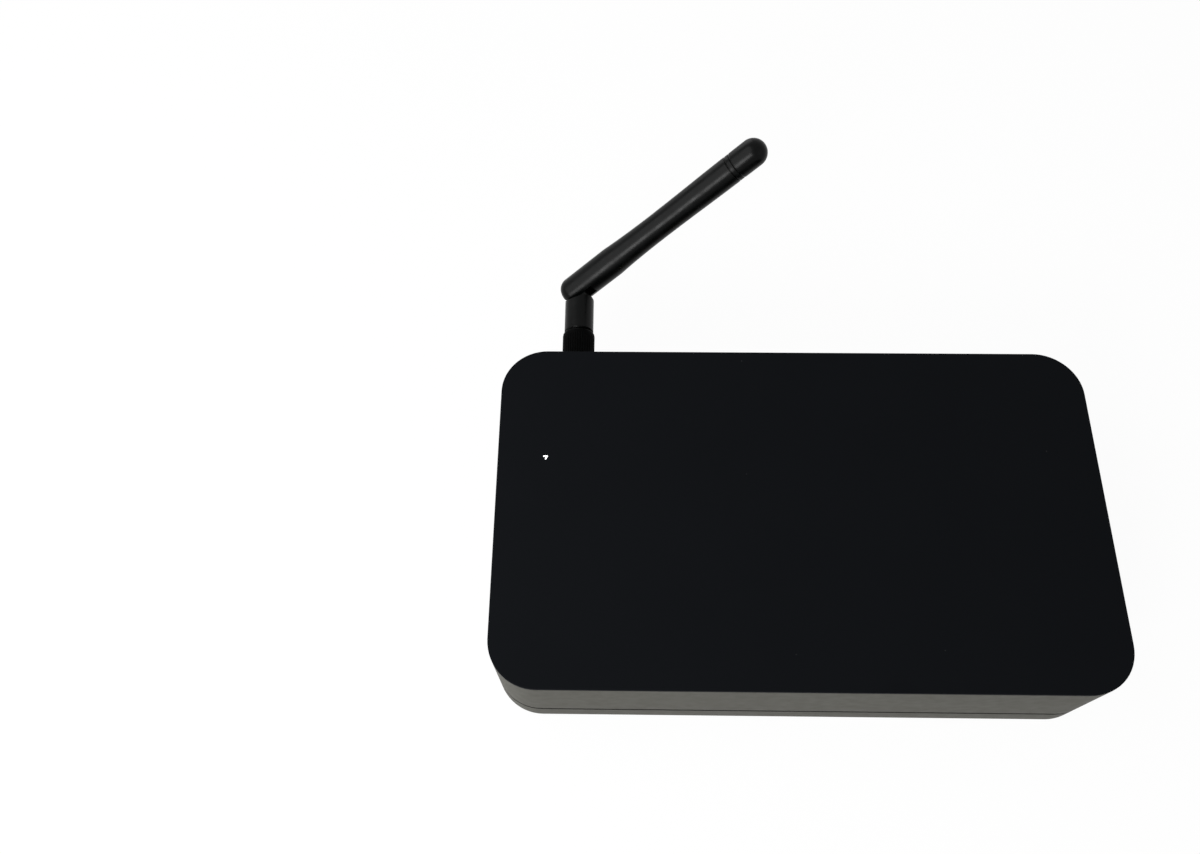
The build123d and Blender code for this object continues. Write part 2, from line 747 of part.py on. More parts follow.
jack_head_height = 1.3
cross_length = 2.4
cross_width = 0.5
cross_depth = 0.7
with BuildPart() as jack_screws:
    with BuildSketch(rear_plane(panel_face_y)):
        for x, z in jack_screw_points:
            with Locations((-x, z)):
                Circle(jack_screw_head_radius)
    extrude(amount=jack_head_height)
    fillet(jack_screws.faces().group_by(Axis.Y)[-1].edges(), jack_head_height / 3)
    with BuildSketch(rear_plane(panel_face_y)):
        for x, z in jack_screw_points:
            with Locations((-x, z)):
                Circle(jack_screw_radius)
    extrude(amount=-(panel_face_y - body_front_y + jack_screw_grip - slip))
    with BuildSketch(rear_plane(panel_face_y + jack_head_height)):
        for x, z in jack_screw_points:
            with Locations((-x, z)):
                Rectangle(cross_length, cross_width)
                Rectangle(cross_width, cross_length)
    extrude(amount=-cross_depth, mode=Mode.SUBTRACT)
save(jack_screws, "jack_screws")

# Small jack socket: a moulded body and a metal bush through the panel
aux_bush_grip = 2.0
aux_end_wall = 1.5
aux_bush_root_y = panel_cut_y - aux_bush_grip
with BuildPart() as aux_jack_body:
    with Locations((aux_x, panel_cut_y - slip, board_top_z)):
        Box(aux_width, aux_depth, aux_body_height, align=(Align.CENTER, Align.MAX, Align.MIN))
    with BuildSketch(rear_plane(panel_cut_y)):
        with Locations((-aux_x, aux_z)):
            Circle(aux_bush_radius)
    extrude(amount=-(panel_cut_y - aux_bush_root_y), mode=Mode.SUBTRACT)
    with BuildSketch(rear_plane(panel_cut_y)):
        with Locations((-aux_x, aux_z)):
            Circle(aux_bore_radius)
    extrude(amount=-(aux_depth - aux_end_wall), mode=Mode.SUBTRACT)
save(aux_jack_body, "aux_jack_body")

with BuildPart() as aux_jack_bush:
    with BuildSketch(rear_plane(panel_face_y)):
        with Locations((-aux_x, aux_z)):
            Circle(aux_bush_radius)
            Circle(aux_bore_radius, mode=Mode.SUBTRACT)
    extrude(amount=-(panel_face_y - aux_bush_root_y))
save(aux_jack_bush, "aux_jack_bush")

# Power inlet for a coaxial low-voltage plug
dc_bore_radius = 3.1
dc_bore_depth = 9.5
dc_axis_height = 6.4
dc_pin_radius = 1.05
dc_pin_seat = 2.0
dc_pin_recess = 0.8
dc_axis_z = board_top_z + dc_axis_height
with BuildPart() as dc_jack_body:
    with Locations((dc_x, panel_face_y, board_top_z)):
        Box(dc_width, dc_depth, dc_height, align=(Align.CENTER, Align.MAX, Align.MIN))
    with BuildSketch(rear_plane(panel_face_y)):
        with Locations((-dc_x, dc_axis_z)):
            Circle(dc_bore_radius)
    extrude(amount=-dc_bore_depth, mode=Mode.SUBTRACT)
    with BuildSketch(rear_plane(panel_face_y - dc_bore_depth)):
        with Locations((-dc_x, dc_axis_z)):
            Circle(dc_pin_radius)
    extrude(amount=-dc_pin_seat, mode=Mode.SUBTRACT)
save(dc_jack_body, "dc_jack_body")

with BuildPart() as dc_jack_pin:
    with BuildSketch(rear_plane(panel_face_y - dc_bore_depth - dc_pin_seat)):
        with Locations((-dc_x, dc_axis_z)):
            Circle(dc_pin_radius)
    extrude(amount=dc_bore_depth + dc_pin_seat - dc_pin_recess)
    fillet(dc_jack_pin.faces().sort_by(Axis.Y)[-1].edges(), dc_pin_radius / 2)
save(dc_jack_pin, "dc_jack_pin")

# Antenna socket on the case wall; distances along the antenna are from the rear face
antenna_profile_plane = Plane(origin=(antenna_x, rear_y, antenna_z), x_dir=(0, 1, 0), z_dir=(1, 0, 0))
antenna_axis = Axis((antenna_x, rear_y, antenna_z), (0, 1, 0))


def turned(points):
    """Profile of (distance from the rear face, radius) points, turned about the antenna's axis."""
    with BuildSketch(antenna_profile_plane) as profile:
        Polygon(*points, align=None)
    revolve(profile.sketch, axis=antenna_axis)


bulkhead_flange_thickness = 2.0
bulkhead_ferrule_radius = 1.9
bulkhead_ferrule_length = 4.8
bulkhead_bore_radius = 2.3
bulkhead_bore_start = 4.5
bulkhead_core_radius = 1.4
contact_radius = 0.6
ferrule_end = -case_wall - bulkhead_flange_thickness - bulkhead_ferrule_length
lead_socket_length = 3.0
thread_chamfer = 0.3
insulator_start = ferrule_end + lead_socket_length
lead_radius = 0.6
with BuildPart() as antenna_bulkhead:
    turned(
        [
            (ferrule_end, lead_radius),
            (ferrule_end, bulkhead_ferrule_radius),
            (-case_wall, bulkhead_ferrule_radius),
            (-case_wall, thread_radius),
            (thread_end, thread_radius),
            (thread_end, bulkhead_bore_radius),
            (bulkhead_bore_start, bulkhead_bore_radius),
            (bulkhead_bore_start, bulkhead_core_radius),
            (insulator_start, bulkhead_core_radius),
            (insulator_start, lead_radius),
        ]
    )
    chamfer(antenna_bulkhead.faces().sort_by(Axis.Y)[-1].edges().sort_by(SortBy.RADIUS)[-1], thread_chamfer)
    with BuildSketch(rear_plane(rear_inside_y)):
        with Locations((-antenna_x, antenna_z)):
            RegularPolygon(hex_nut_width / 2, 6, major_radius=False)
            Circle(bulkhead_ferrule_radius, mode=Mode.SUBTRACT)
    extrude(amount=-bulkhead_flange_thickness)
save(antenna_bulkhead, "antenna_bulkhead")

socket_reach = 2.6
with BuildPart() as bulkhead_insulator:
    turned(
        [
            (insulator_start, 0),
            (insulator_start, bulkhead_core_radius),
            (bulkhead_bore_start + socket_reach, bulkhead_core_radius),
            (bulkhead_bore_start + socket_reach, contact_radius + slip),
            (bulkhead_bore_start, contact_radius + slip),
            (bulkhead_bore_start, 0),
        ]
    )
save(bulkhead_insulator, "bulkhead_insulator")

with BuildPart() as bulkhead_washer:
    with BuildSketch(rear_plane(rear_y)):
        with Locations((-antenna_x, antenna_z)):
            Circle(washer_radius)
            Circle(thread_radius, mode=Mode.SUBTRACT)
    extrude(amount=washer_thickness)
save(bulkhead_washer, "bulkhead_washer")

with BuildPart() as bulkhead_nut:
    with BuildSketch(rear_plane(rear_y + washer_thickness)):
        with Locations((-antenna_x, antenna_z)):
            RegularPolygon(hex_nut_width / 2, 6, major_radius=False)
            Circle(thread_radius, mode=Mode.SUBTRACT)
    extrude(amount=hex_nut_thickness)
save(bulkhead_nut, "bulkhead_nut")

# Antenna plug: the core that does not turn, its insulator and the wire through it
core_front = thread_end + slip
core_nose_radius = 3.0
core_flange_start = 11.6
core_flange_end = 12.6
core_flange_lip = 0.65
nut_bore_radius = thread_radius + running
core_flange_radius = nut_bore_radius + core_flange_lip
stem_radius = 2.2
stem_head_start = 20.4
stem_head_end = 21.2
stem_head_radius = 2.9
plug_insulator_radius = 1.3
plug_insulator_reach = 1.2
wire_tip_gap = 0.4
plug_wire_start = bulkhead_bore_start + wire_tip_gap
feed_end = elbow_reach - knuckle_radius
with BuildPart() as antenna_plug_core:
    turned(
        [
            (core_front, plug_insulator_radius),
            (core_front, core_nose_radius),
            (core_flange_start, core_nose_radius),
            (core_flange_start, core_flange_radius),
            (core_flange_end, core_flange_radius),
            (core_flange_end, stem_radius),
            (stem_head_start, stem_radius),
            (stem_head_start, stem_head_radius),
            (stem_head_end, stem_head_radius),
            (stem_head_end, plug_insulator_radius),
        ]
    )
save(antenna_plug_core, "antenna_plug_core")

with BuildPart() as antenna_plug_insulator:
    turned(
        [
            (core_front - plug_insulator_reach, contact_radius),
            (core_front - plug_insulator_reach, plug_insulator_radius),
            (stem_head_end, plug_insulator_radius),
            (stem_head_end, contact_radius),
        ]
    )
save(antenna_plug_insulator, "antenna_plug_insulator")

with BuildPart() as antenna_feed_wire:
    turned(
        [
            (plug_wire_start, 0),
            (plug_wire_start, contact_radius),
            (feed_end, contact_radius),
            (feed_end, 0),
        ]
    )
save(antenna_feed_wire, "antenna_feed_wire")

# Coupling nut: fluted outside, with a chamber that catches the core's flange
flange_play = 0.3
chamber_start = core_flange_start - flange_play
chamber_end = core_flange_end + flange_play
chamber_radius = core_flange_radius + flange_play
spigot_radius = nut_bore_radius - running
coupling_chamfer = 0.3
coupling_round = 1.2
flute_start_gap = 0.5
flute_end_gap = 1.9
flute_length = coupling_end - flute_end_gap - coupling_start - flute_start_gap
with BuildPart() as coupling_nut:
    turned(
        [
            (coupling_start, nut_bore_radius),
            (coupling_start, coupling_radius - coupling_chamfer),
            (coupling_start + coupling_chamfer, coupling_radius),
            (coupling_end, coupling_radius),
            (coupling_end, nut_bore_radius),
            (chamber_end, nut_bore_radius),
            (chamber_end, chamber_radius),
            (chamber_start, chamber_radius),
            (chamber_start, nut_bore_radius),
        ]
    )
    fillet(coupling_nut.faces().sort_by(Axis.Y)[-1].edges().sort_by(SortBy.RADIUS)[-1], coupling_round)
    with BuildSketch(rear_plane(rear_y + coupling_start + flute_start_gap)):
        with Locations((-antenna_x, antenna_z)):
            with PolarLocations(coupling_radius, flute_count):
                Circle(flute_radius)
    extrude(amount=flute_length, mode=Mode.SUBTRACT)
save(coupling_nut, "coupling_nut")

# Elbow frame: the pivot, the arm's direction at rest, and the pin across both
tilt = radians(rest_tilt)
swivel = radians(rest_swivel)
arm_dir = Vector(sin(tilt) * cos(swivel), cos(tilt), sin(tilt) * sin(swivel))
pin_dir = Vector(sin(swivel), 0, -cos(swivel))
pivot = Vector(antenna_x, rear_y + elbow_reach, antenna_z)
arm_profile_plane = Plane(origin=pivot, x_dir=arm_dir, z_dir=pin_dir)
tongue_plane = Plane(origin=pivot, x_dir=(0, 1, 0), z_dir=pin_dir)
arm_slot_plane = Plane(origin=pivot, x_dir=arm_dir, z_dir=pin_dir.cross(arm_dir))
arm_axis = Axis(pivot, arm_dir)

# Swivel base: turns on the core's stem and ends in the elbow's tongue, between two scoops
# that the arm's root sweeps through
shoulder_at = elbow_reach - shoulder_drop
stem_bore_radius = stem_radius + running
head_room = 0.15
tongue_radius = swivel_radius - 2 * slip
tongue_neck = 3.6
swivel_edge = 0.4
head_pocket_radius = stem_head_radius + head_room
with BuildPart() as tongue:
    with BuildSketch(tongue_plane):
        with BuildLine():
            Line((-tongue_neck, knuckle_radius), (0, knuckle_radius))
            CenterArc((0, 0), knuckle_radius, 90, -180)
            Line((0, -knuckle_radius), (-tongue_neck, -knuckle_radius))
            Spline(
                (-tongue_neck, -knuckle_radius),
                (-shoulder_drop, -tongue_radius),
                tangents=[(-1, 0), (-1, -1)],
            )
            Polyline(
                (-shoulder_drop, -tongue_radius),
                (-scoop_radius - swivel_edge, -tongue_radius),
                (-scoop_radius - swivel_edge, tongue_radius),
                (-shoulder_drop, tongue_radius),
            )
            Spline(
                (-shoulder_drop, tongue_radius),
                (-tongue_neck, knuckle_radius),
                tangents=[(1, -1), (1, 0)],
            )
        make_face()
    extrude(amount=tongue_thickness / 2, both=True)
    with BuildSketch(rear_plane(rear_y)):
        with Locations((-antenna_x, antenna_z)):
            Circle(tongue_radius)
    extrude(amount=elbow_reach + arm_root_radius, mode=Mode.INTERSECT)

with BuildPart() as swivel_base:
    turned(
        [
            (core_flange_end + slip, stem_bore_radius),
            (core_flange_end + slip, spigot_radius),
            (swivel_start, spigot_radius),
            (swivel_start, swivel_radius - swivel_edge),
            (swivel_start + swivel_edge, swivel_radius),
            (shoulder_at - swivel_edge, swivel_radius),
            (shoulder_at, swivel_radius - swivel_edge),
            (shoulder_at, 0),
            (stem_head_end + head_room, 0),
            (stem_head_end + head_room, head_pocket_radius),
            (stem_head_start - head_room, head_pocket_radius),
            (stem_head_start - head_room, stem_bore_radius),
        ]
    )
    with BuildSketch(tongue_plane):
        Circle(scoop_radius)
    extrude(amount=swivel_radius, both=True, mode=Mode.SUBTRACT)
    add(tongue)
    with BuildSketch(rear_plane(rear_y + stem_head_end)):
        with Locations((-antenna_x, antenna_z)):
            Circle(contact_radius + slip)
    extrude(amount=feed_end + 2 * slip - stem_head_end, mode=Mode.SUBTRACT)
    with BuildSketch(tongue_plane):
        Circle(elbow_pin_radius + running)
    extrude(amount=tongue_thickness, both=True, mode=Mode.SUBTRACT)
save(swivel_base, "swivel_base")

with BuildPart() as elbow_pin:
    with BuildSketch(tongue_plane):
        Circle(elbow_pin_radius)
    extrude(amount=elbow_pin_length / 2, both=True)
save(elbow_pin, "elbow_pin")

# Antenna arm: a rounded forked root, a waisted sleeve and a bore that takes the tip cap
arm_web = 3.0
taper_slope = -0.07
bore_start = arm_slot_depth + arm_web
slot_width = tongue_thickness + 2 * tongue_clearance
with BuildPart() as antenna_arm:
    with BuildSketch(arm_profile_plane):
        with BuildLine():
            CenterArc((-root_round_back, root_round_out), arm_root_round, 90, 90)
            Line((-root_round_back, arm_root_radius), (arm_root_straight, arm_root_radius))
            Spline(
                (arm_root_straight, arm_root_radius),
                (arm_waist_at, arm_waist_radius),
                (arm_sleeve_end, arm_tip_radius),
                tangents=[(1, taper_slope), (1, 0)],
            )
            Polyline(
                (arm_sleeve_end, arm_tip_radius),
                (arm_sleeve_end, 0),
                (-arm_root_reach, 0),
                (-arm_root_reach, root_round_out),
            )
        make_face()
    revolve(axis=arm_axis)
    with BuildSketch(arm_profile_plane):
        with BuildLine():
            Polyline(
                (bore_start, 0),
                (bore_start, arm_bore_radius),
                (arm_sleeve_end, arm_bore_radius),
                (arm_sleeve_end, 0),
                close=True,
            )
        make_face()
    revolve(axis=arm_axis, mode=Mode.SUBTRACT)
    with BuildSketch(arm_profile_plane):
        with BuildLine():
            Polyline((0, 0), (0, contact_radius), (bore_start, contact_radius), (bore_start, 0), close=True)
        make_face()
    revolve(axis=arm_axis, mode=Mode.SUBTRACT)
    with BuildSketch(arm_slot_plane):
        slot_length = arm_slot_depth + arm_root_reach + slip
        with Locations((arm_slot_depth - slot_length / 2, 0)):
            Rectangle(slot_length, slot_width)
    extrude(amount=arm_root_radius + slip, both=True, mode=Mode.SUBTRACT)
    with BuildSketch(tongue_plane):
        Circle(elbow_pin_radius)
    extrude(amount=elbow_pin_length / 2, both=True, mode=Mode.SUBTRACT)
save(antenna_arm, "antenna_arm")

# Tip cap: a spigot in the sleeve, a band between two grooves, and the dome
band_start = arm_sleeve_end + tip_groove
band_end = band_start + tip_band
cap_start = band_end + tip_groove
groove_radius = arm_tip_radius - tip_groove_depth
band_step = 0.05
spigot_length = 8.0
dome_centre = arm_length - arm_tip_radius
with BuildPart() as antenna_tip_cap:
    with BuildSketch(arm_profile_plane):
        with BuildLine():
            Polyline(
                (dome_centre, arm_tip_radius),
                (cap_start, arm_tip_radius),
                (cap_start, groove_radius),
                (band_end, groove_radius),
                (band_end, arm_tip_radius - band_step),
                (band_start, arm_tip_radius - band_step),
                (band_start, groove_radius),
                (arm_sleeve_end, groove_radius),
                (arm_sleeve_end, arm_bore_radius),
                (arm_sleeve_end - spigot_length, arm_bore_radius),
                (arm_sleeve_end - spigot_length, 0),
                (arm_length, 0),
            )
            CenterArc((dome_centre, 0), arm_tip_radius, 0, 90)
        make_face()
    revolve(axis=arm_axis)
save(antenna_tip_cap, "antenna_tip_cap")

# Radiator inside the sleeve: a brass tube closed at its root, and the wire through it
radiator_start = 12.0
radiator_end = 42.0
radiator_slip = 0.1
radiator_radius = arm_bore_radius - radiator_slip
radiator_wall = 0.4
wire_end_gap = 1.0
wire_start = arm_slot_depth + 2 * slip
wire_end = arm_sleeve_end - spigot_length - wire_end_gap
with BuildPart() as antenna_radiator:
    with BuildSketch(arm_profile_plane):
        with BuildLine():
            Polyline(
                (wire_start, 0),
                (wire_start, contact_radius),
                (radiator_start, contact_radius),
                (radiator_start, radiator_radius),
                (radiator_end, radiator_radius),
                (radiator_end, radiator_radius - radiator_wall),
                (radiator_start + radiator_wall, radiator_radius - radiator_wall),
                (radiator_start + radiator_wall, contact_radius),
                (wire_end, contact_radius),
                (wire_end, 0),
                close=True,
            )
        make_face()
    revolve(axis=arm_axis)
save(antenna_radiator, "antenna_radiator")

# Network radio module: a small board on two headers, with its shield can
radio_side_gap = 36.0
radio_rear_gap = 46.0
radio_width = 30.0
radio_depth = 24.0
radio_can_width = 20.0
radio_can_depth = 17.0
radio_can_height = 2.6
radio_can_shift = 3.0
radio_header_length = 20.0
radio_x = -side_x + radio_side_gap
radio_y = rear_y - radio_rear_gap
header_height = 3.0
header_thickness = 2.2
module_thickness = 1.0
module_z = board_top_z + header_height
module_top_z = module_z + module_thickness
can_wall = 0.3
can_round = 0.6


def shield_can(x, y, width, depth, height):
    """Open-bottomed metal can with small rounded edges, standing on a module."""
    with Locations((x, y, module_top_z)):
        Box(width, depth, height, align=(Align.CENTER, Align.CENTER, Align.MIN))
    fillet(edges().filter_by(Axis.Z), can_round)
    with Locations((x, y, module_top_z)):
        inside = (width - 2 * can_wall, depth - 2 * can_wall, height - can_wall)
        Box(*inside, align=(Align.CENTER, Align.CENTER, Align.MIN), mode=Mode.SUBTRACT)


with BuildPart() as radio_board:
    with Locations((radio_x, radio_y, module_z)):
        Box(radio_width, radio_depth, module_thickness, align=(Align.CENTER, Align.CENTER, Align.MIN))
save(radio_board, "radio_board")

with BuildPart() as radio_shield:
    shield_can(radio_x + radio_can_shift, radio_y, radio_can_width, radio_can_depth, radio_can_height)
save(radio_shield, "radio_shield")

# Loudspeaker transmitter module, nearer the front
transmitter_x = -16.0
transmitter_front_gap = 5.0
transmitter_width = 50.0
transmitter_depth = 30.0
transmitter_can_width = 30.0
transmitter_can_depth = 22.0
transmitter_can_height = 2.8
transmitter_can_shift = 6.0
transmitter_header_length = 40.0
transmitter_y = board_front_y + transmitter_front_gap + transmitter_depth / 2
with BuildPart() as transmitter_board:
    with Locations((transmitter_x, transmitter_y, module_z)):
        board_size = (transmitter_width, transmitter_depth, module_thickness)
        Box(*board_size, align=(Align.CENTER, Align.CENTER, Align.MIN))
save(transmitter_board, "transmitter_board")

with BuildPart() as transmitter_shield:
    can_x = transmitter_x + transmitter_can_shift
    shield_can(can_x, transmitter_y, transmitter_can_width, transmitter_can_depth, transmitter_can_height)
save(transmitter_shield, "transmitter_shield")

with BuildPart() as board_headers:
    for side in (-1, 1):
        with Locations((radio_x + side * (radio_width / 2 - header_thickness), radio_y, board_top_z)):
            header_size = (header_thickness, radio_header_length, header_height)
            Box(*header_size, align=(Align.CENTER, Align.CENTER, Align.MIN))
        header_y = transmitter_y + side * (transmitter_depth / 2 - header_thickness)
        with Locations((transmitter_x, header_y, board_top_z)):
            header_size = (transmitter_header_length, header_thickness, header_height)
            Box(*header_size, align=(Align.CENTER, Align.CENTER, Align.MIN))
save(board_headers, "board_headers")

# Lead from the antenna socket to the radio module, in the upright plane of the socket's axis
lead_plug_edge = 1.5
lead_plug_radius = 1.5
lead_plug_height = 1.4
lead_straight = 9.0
lead_run_in = 10.0
lead_plug_y = radio_y + radio_depth / 2 - lead_plug_edge
lead_z = module_top_z + lead_plug_height / 2
lead_start_y = rear_y + insulator_start
lead_points = [
    (antenna_x, lead_start_y, antenna_z),
    (antenna_x, lead_start_y - lead_straight, antenna_z),
    (antenna_x, lead_plug_y + lead_run_in, lead_z),
    (antenna_x, lead_plug_y, lead_z),
]


def bend_radii(points):
    """Largest arc that the two runs at each corner allow."""
    radii = []
    for before, corner, after in zip(points, points[1:], points[2:]):
        run_in = Vector(*corner) - Vector(*before)
        run_out = Vector(*after) - Vector(*corner)
        half_turn = radians(run_in.get_angle(run_out) / 2)
        radii.append(0.45 * min(run_in.length, run_out.length) / tan(half_turn))
    return radii


lead_radii = bend_radii(lead_points)
print("antenna lead bend radii", [round(radius, 1) for radius in lead_radii])
with BuildPart() as antenna_lead:
    with BuildLine() as lead_path:
        FilletPolyline(*lead_points, radius=lead_radii)
    with BuildSketch(Plane(origin=lead_points[0], x_dir=(1, 0, 0), z_dir=(0, -1, 0))):
        Circle(lead_radius)
    sweep(path=lead_path.wire())
lead_solid = pi * lead_radius**2 * lead_path.wire().length
print("antenna lead volume over section times length", antenna_lead.part.volume / lead_solid)
save(antenna_lead, "antenna_lead")

with BuildPart() as lead_plug:
    with Locations((antenna_x, lead_plug_y - lead_plug_radius, module_top_z)):
        Cylinder(lead_plug_radius, lead_plug_height, align=(Align.CENTER, Align.CENTER, Align.MIN))
save(lead_plug, "lead_plug")

# Processor under its heat sink, right of the middle
processor_x = 34.0
processor_y = 2.0
processor_size = 19.0
processor_height = 1.5
pad_height = 0.5
sink_size = 36.0
sink_base = 2.0
sink_height = 12.0
fin_count = 10
fin_thickness = 1.1
sink_z = board_top_z + processor_height + pad_height
with BuildPart() as processor:
    with Locations((processor_x, processor_y, board_top_z)):
        processor_box = (processor_size, processor_size, processor_height)
        Box(*processor_box, align=(Align.CENTER, Align.CENTER, Align.MIN))
save(processor, "processor")

with BuildPart() as thermal_pad:
    with Locations((processor_x, processor_y, board_top_z + processor_height)):
        Box(processor_size, processor_size, pad_height, align=(Align.CENTER, Align.CENTER, Align.MIN))
save(thermal_pad, "thermal_pad")

with BuildPart() as heat_sink:
    with Locations((processor_x, processor_y, sink_z)):
        Box(sink_size, sink_size, sink_base, align=(Align.CENTER, Align.CENTER, Align.MIN))
    fin_pitch = (sink_size - fin_thickness) / (fin_count - 1)
    with BuildSketch(Plane((processor_x, processor_y, sink_z + sink_base))):
        with GridLocations(fin_pitch, 0, fin_count, 1):
            Rectangle(fin_thickness, sink_size)
    extrude(amount=sink_height - sink_base)
save(heat_sink, "heat_sink")

# Capacitors, inductors and chips on the board, in rows behind the sockets
tall_radius = 4.0
tall_height = 10.0
tall_pitch = 9.0
small_radius = 3.15
small_height = 7.7
small_pitch = 8.0
can_edge_round = 0.5
socket_row_y = rear_y - 24.0
with BuildPart() as board_capacitors:
    with BuildSketch(Plane.XY.offset(board_top_z)):
        with Locations((dc_x - tall_pitch / 6, socket_row_y)):
            with GridLocations(tall_pitch, 0, 2, 1):
                Circle(tall_radius)
    extrude(amount=tall_height)
    with BuildSketch(Plane.XY.offset(board_top_z)):
        for x in (coax_x, line_left_x):
            with Locations((x, socket_row_y)):
                with GridLocations(small_pitch, 0, 2, 1):
                    Circle(small_radius)
    extrude(amount=small_height)
    for top in (board_top_z + tall_height, board_top_z + small_height):
        fillet(board_capacitors.faces().filter_by_position(Axis.Z, top, top).edges(), can_edge_round)
save(board_capacitors, "board_capacitors")

coil_size = 8.0
coil_height = 4.2
coil_round = 1.2
coil_gap = 4.0
coil_row_y = rear_y - 38.0
with BuildPart() as board_inductors:
    for y in (coil_row_y, coil_row_y - coil_size - coil_gap):
        with Locations((dc_x, y, board_top_z)):
            Box(coil_size, coil_size, coil_height, align=(Align.CENTER, Align.CENTER, Align.MIN))
    fillet(board_inductors.edges().filter_by(Axis.Z), coil_round)
save(board_inductors, "board_inductors")

chip_size = 7.0
chip_height = 1.0
signal_row_y = rear_y - 36.0
power_row_y = rear_y - 61.0
chip_points = [(x, socket_row_y) for x in (optical_x[1], optical_x[2], hdmi_x)]
chip_points += [(x, signal_row_y) for x in (line_right_x, coax_x, optical_x[0])]
chip_points += [(dc_x, power_row_y)]
with BuildPart() as board_chips:
    for x, y in chip_points:
        with Locations((x, y, board_top_z)):
            Box(chip_size, chip_size, chip_height, align=(Align.CENTER, Align.CENTER, Align.MIN))
save(board_chips, "board_chips")

# Places that other work needs: mounts, joints and openings, in millimetres
print("levels: top", top_z, "seam", seam_z, "board top", board_top_z, "cover underside", cover_z)
print("panel", panel_left, panel_right, panel_z, "face y", panel_face_y)
print("sockets", [round(x, 3) for x in socket_x])
print("phono axis z", phono_z, "contact mouth y", phono_end_y - insert_recess)
print("aux axis z", aux_z, "dc axis z", dc_axis_z)
print("shutter hinge y z", shutter_y, shutter_hinge_z, "optical axis z", optical_axis_z)
print("antenna axis x z", antenna_x, antenna_z)
print("pivot", tuple(pivot), "arm", tuple(arm_dir), "pin", tuple(pin_dir))
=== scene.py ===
import json
from math import atan2, cos, pi, radians, sin, tan
import bmesh
import bpy
from mathutils import Matrix, Vector

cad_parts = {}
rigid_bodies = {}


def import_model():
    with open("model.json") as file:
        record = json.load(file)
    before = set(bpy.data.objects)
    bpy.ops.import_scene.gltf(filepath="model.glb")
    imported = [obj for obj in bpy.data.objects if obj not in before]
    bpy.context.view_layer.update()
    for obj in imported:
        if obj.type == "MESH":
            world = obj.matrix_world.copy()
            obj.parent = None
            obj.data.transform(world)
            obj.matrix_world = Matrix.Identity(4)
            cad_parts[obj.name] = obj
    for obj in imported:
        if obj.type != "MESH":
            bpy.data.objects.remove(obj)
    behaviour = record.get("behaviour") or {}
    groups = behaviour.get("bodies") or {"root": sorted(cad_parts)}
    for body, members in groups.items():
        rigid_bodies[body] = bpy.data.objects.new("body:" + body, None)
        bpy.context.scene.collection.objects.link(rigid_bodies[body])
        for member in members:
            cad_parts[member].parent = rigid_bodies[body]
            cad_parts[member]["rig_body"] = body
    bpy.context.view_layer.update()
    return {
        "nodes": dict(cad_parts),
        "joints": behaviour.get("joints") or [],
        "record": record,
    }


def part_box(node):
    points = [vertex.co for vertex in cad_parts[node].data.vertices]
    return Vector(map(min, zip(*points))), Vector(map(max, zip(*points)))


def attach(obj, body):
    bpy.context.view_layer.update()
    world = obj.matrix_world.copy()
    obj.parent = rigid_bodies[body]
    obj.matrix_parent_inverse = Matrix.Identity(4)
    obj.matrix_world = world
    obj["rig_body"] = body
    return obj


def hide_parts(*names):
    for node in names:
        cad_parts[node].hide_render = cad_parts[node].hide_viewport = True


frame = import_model()
nodes = frame["nodes"]
joints = {joint["name"]: joint for joint in frame["joints"]}
slot_of = {row["node"]: row["material_slot"] for row in frame["record"]["subparts"]}
scene = bpy.context.scene
scene.view_settings.view_transform = "Standard"
MM = 0.001

# Camera: the photograph's own viewpoint, fitted to the case's edges
AZIMUTH = radians(2.16)
ELEVATION = radians(64.994)
ROLL = radians(-1.562)
CAMERA_PLACE = Vector((-0.055124, -0.116246, 0.347025))
LENS, SENSOR_WIDTH = 32.645, 36
CLIP_START, CLIP_END = 0.01, 20


def add_camera():
    across = cos(ELEVATION)
    back = Vector((sin(AZIMUTH) * across, -cos(AZIMUTH) * across, sin(ELEVATION)))
    level = (-back).cross(Vector((0, 0, 1))).normalized()
    upward = level.cross(-back)
    right = level * cos(ROLL) + upward * sin(ROLL)
    up = upward * cos(ROLL) - level * sin(ROLL)
    data = bpy.data.cameras.new("camera")
    data.lens = LENS
    data.sensor_width = SENSOR_WIDTH
    data.clip_start = CLIP_START
    data.clip_end = CLIP_END
    camera = bpy.data.objects.new("camera", data)
    turn = Matrix((right, up, back)).transposed().to_4x4()
    camera.matrix_world = Matrix.Translation(CAMERA_PLACE) @ turn
    scene.collection.objects.link(camera)
    scene.camera = camera


# Studio: four soft lamps, a pale floor and a white surround
LAMP_AIM = Vector((0, 0, 0.02))
LAMPS = (  # name, place, size in metres, watts
    ("key", (-0.40, -0.02, 0.42), 0.6, 2.4),
    ("front", (-0.50, -0.76, 0.57), 0.44, 9),
    ("side", (0.95, -0.4, 0.75), 0.9, 0.5),
    ("back", (-0.5, 1.1, 0.35), 0.9, 3.2),
)
FILL_STRENGTH = 0.16
FLOOR_HALF = 4.0
FLOOR_PALE = 0.9
WHITE_SHARE = 0.96  # of the floor's look; the rest takes light and shadow


def add_lamp(name, place, size, watts):
    data = bpy.data.lights.new(name, "AREA")
    data.shape = "DISK"
    data.size = size
    data.energy = watts
    lamp = bpy.data.objects.new(name, data)
    lamp.location = place
    lamp.rotation_euler = (LAMP_AIM - Vector(place)).to_track_quat("-Z", "Y").to_euler()
    lamp.visible_camera = False
    scene.collection.objects.link(lamp)


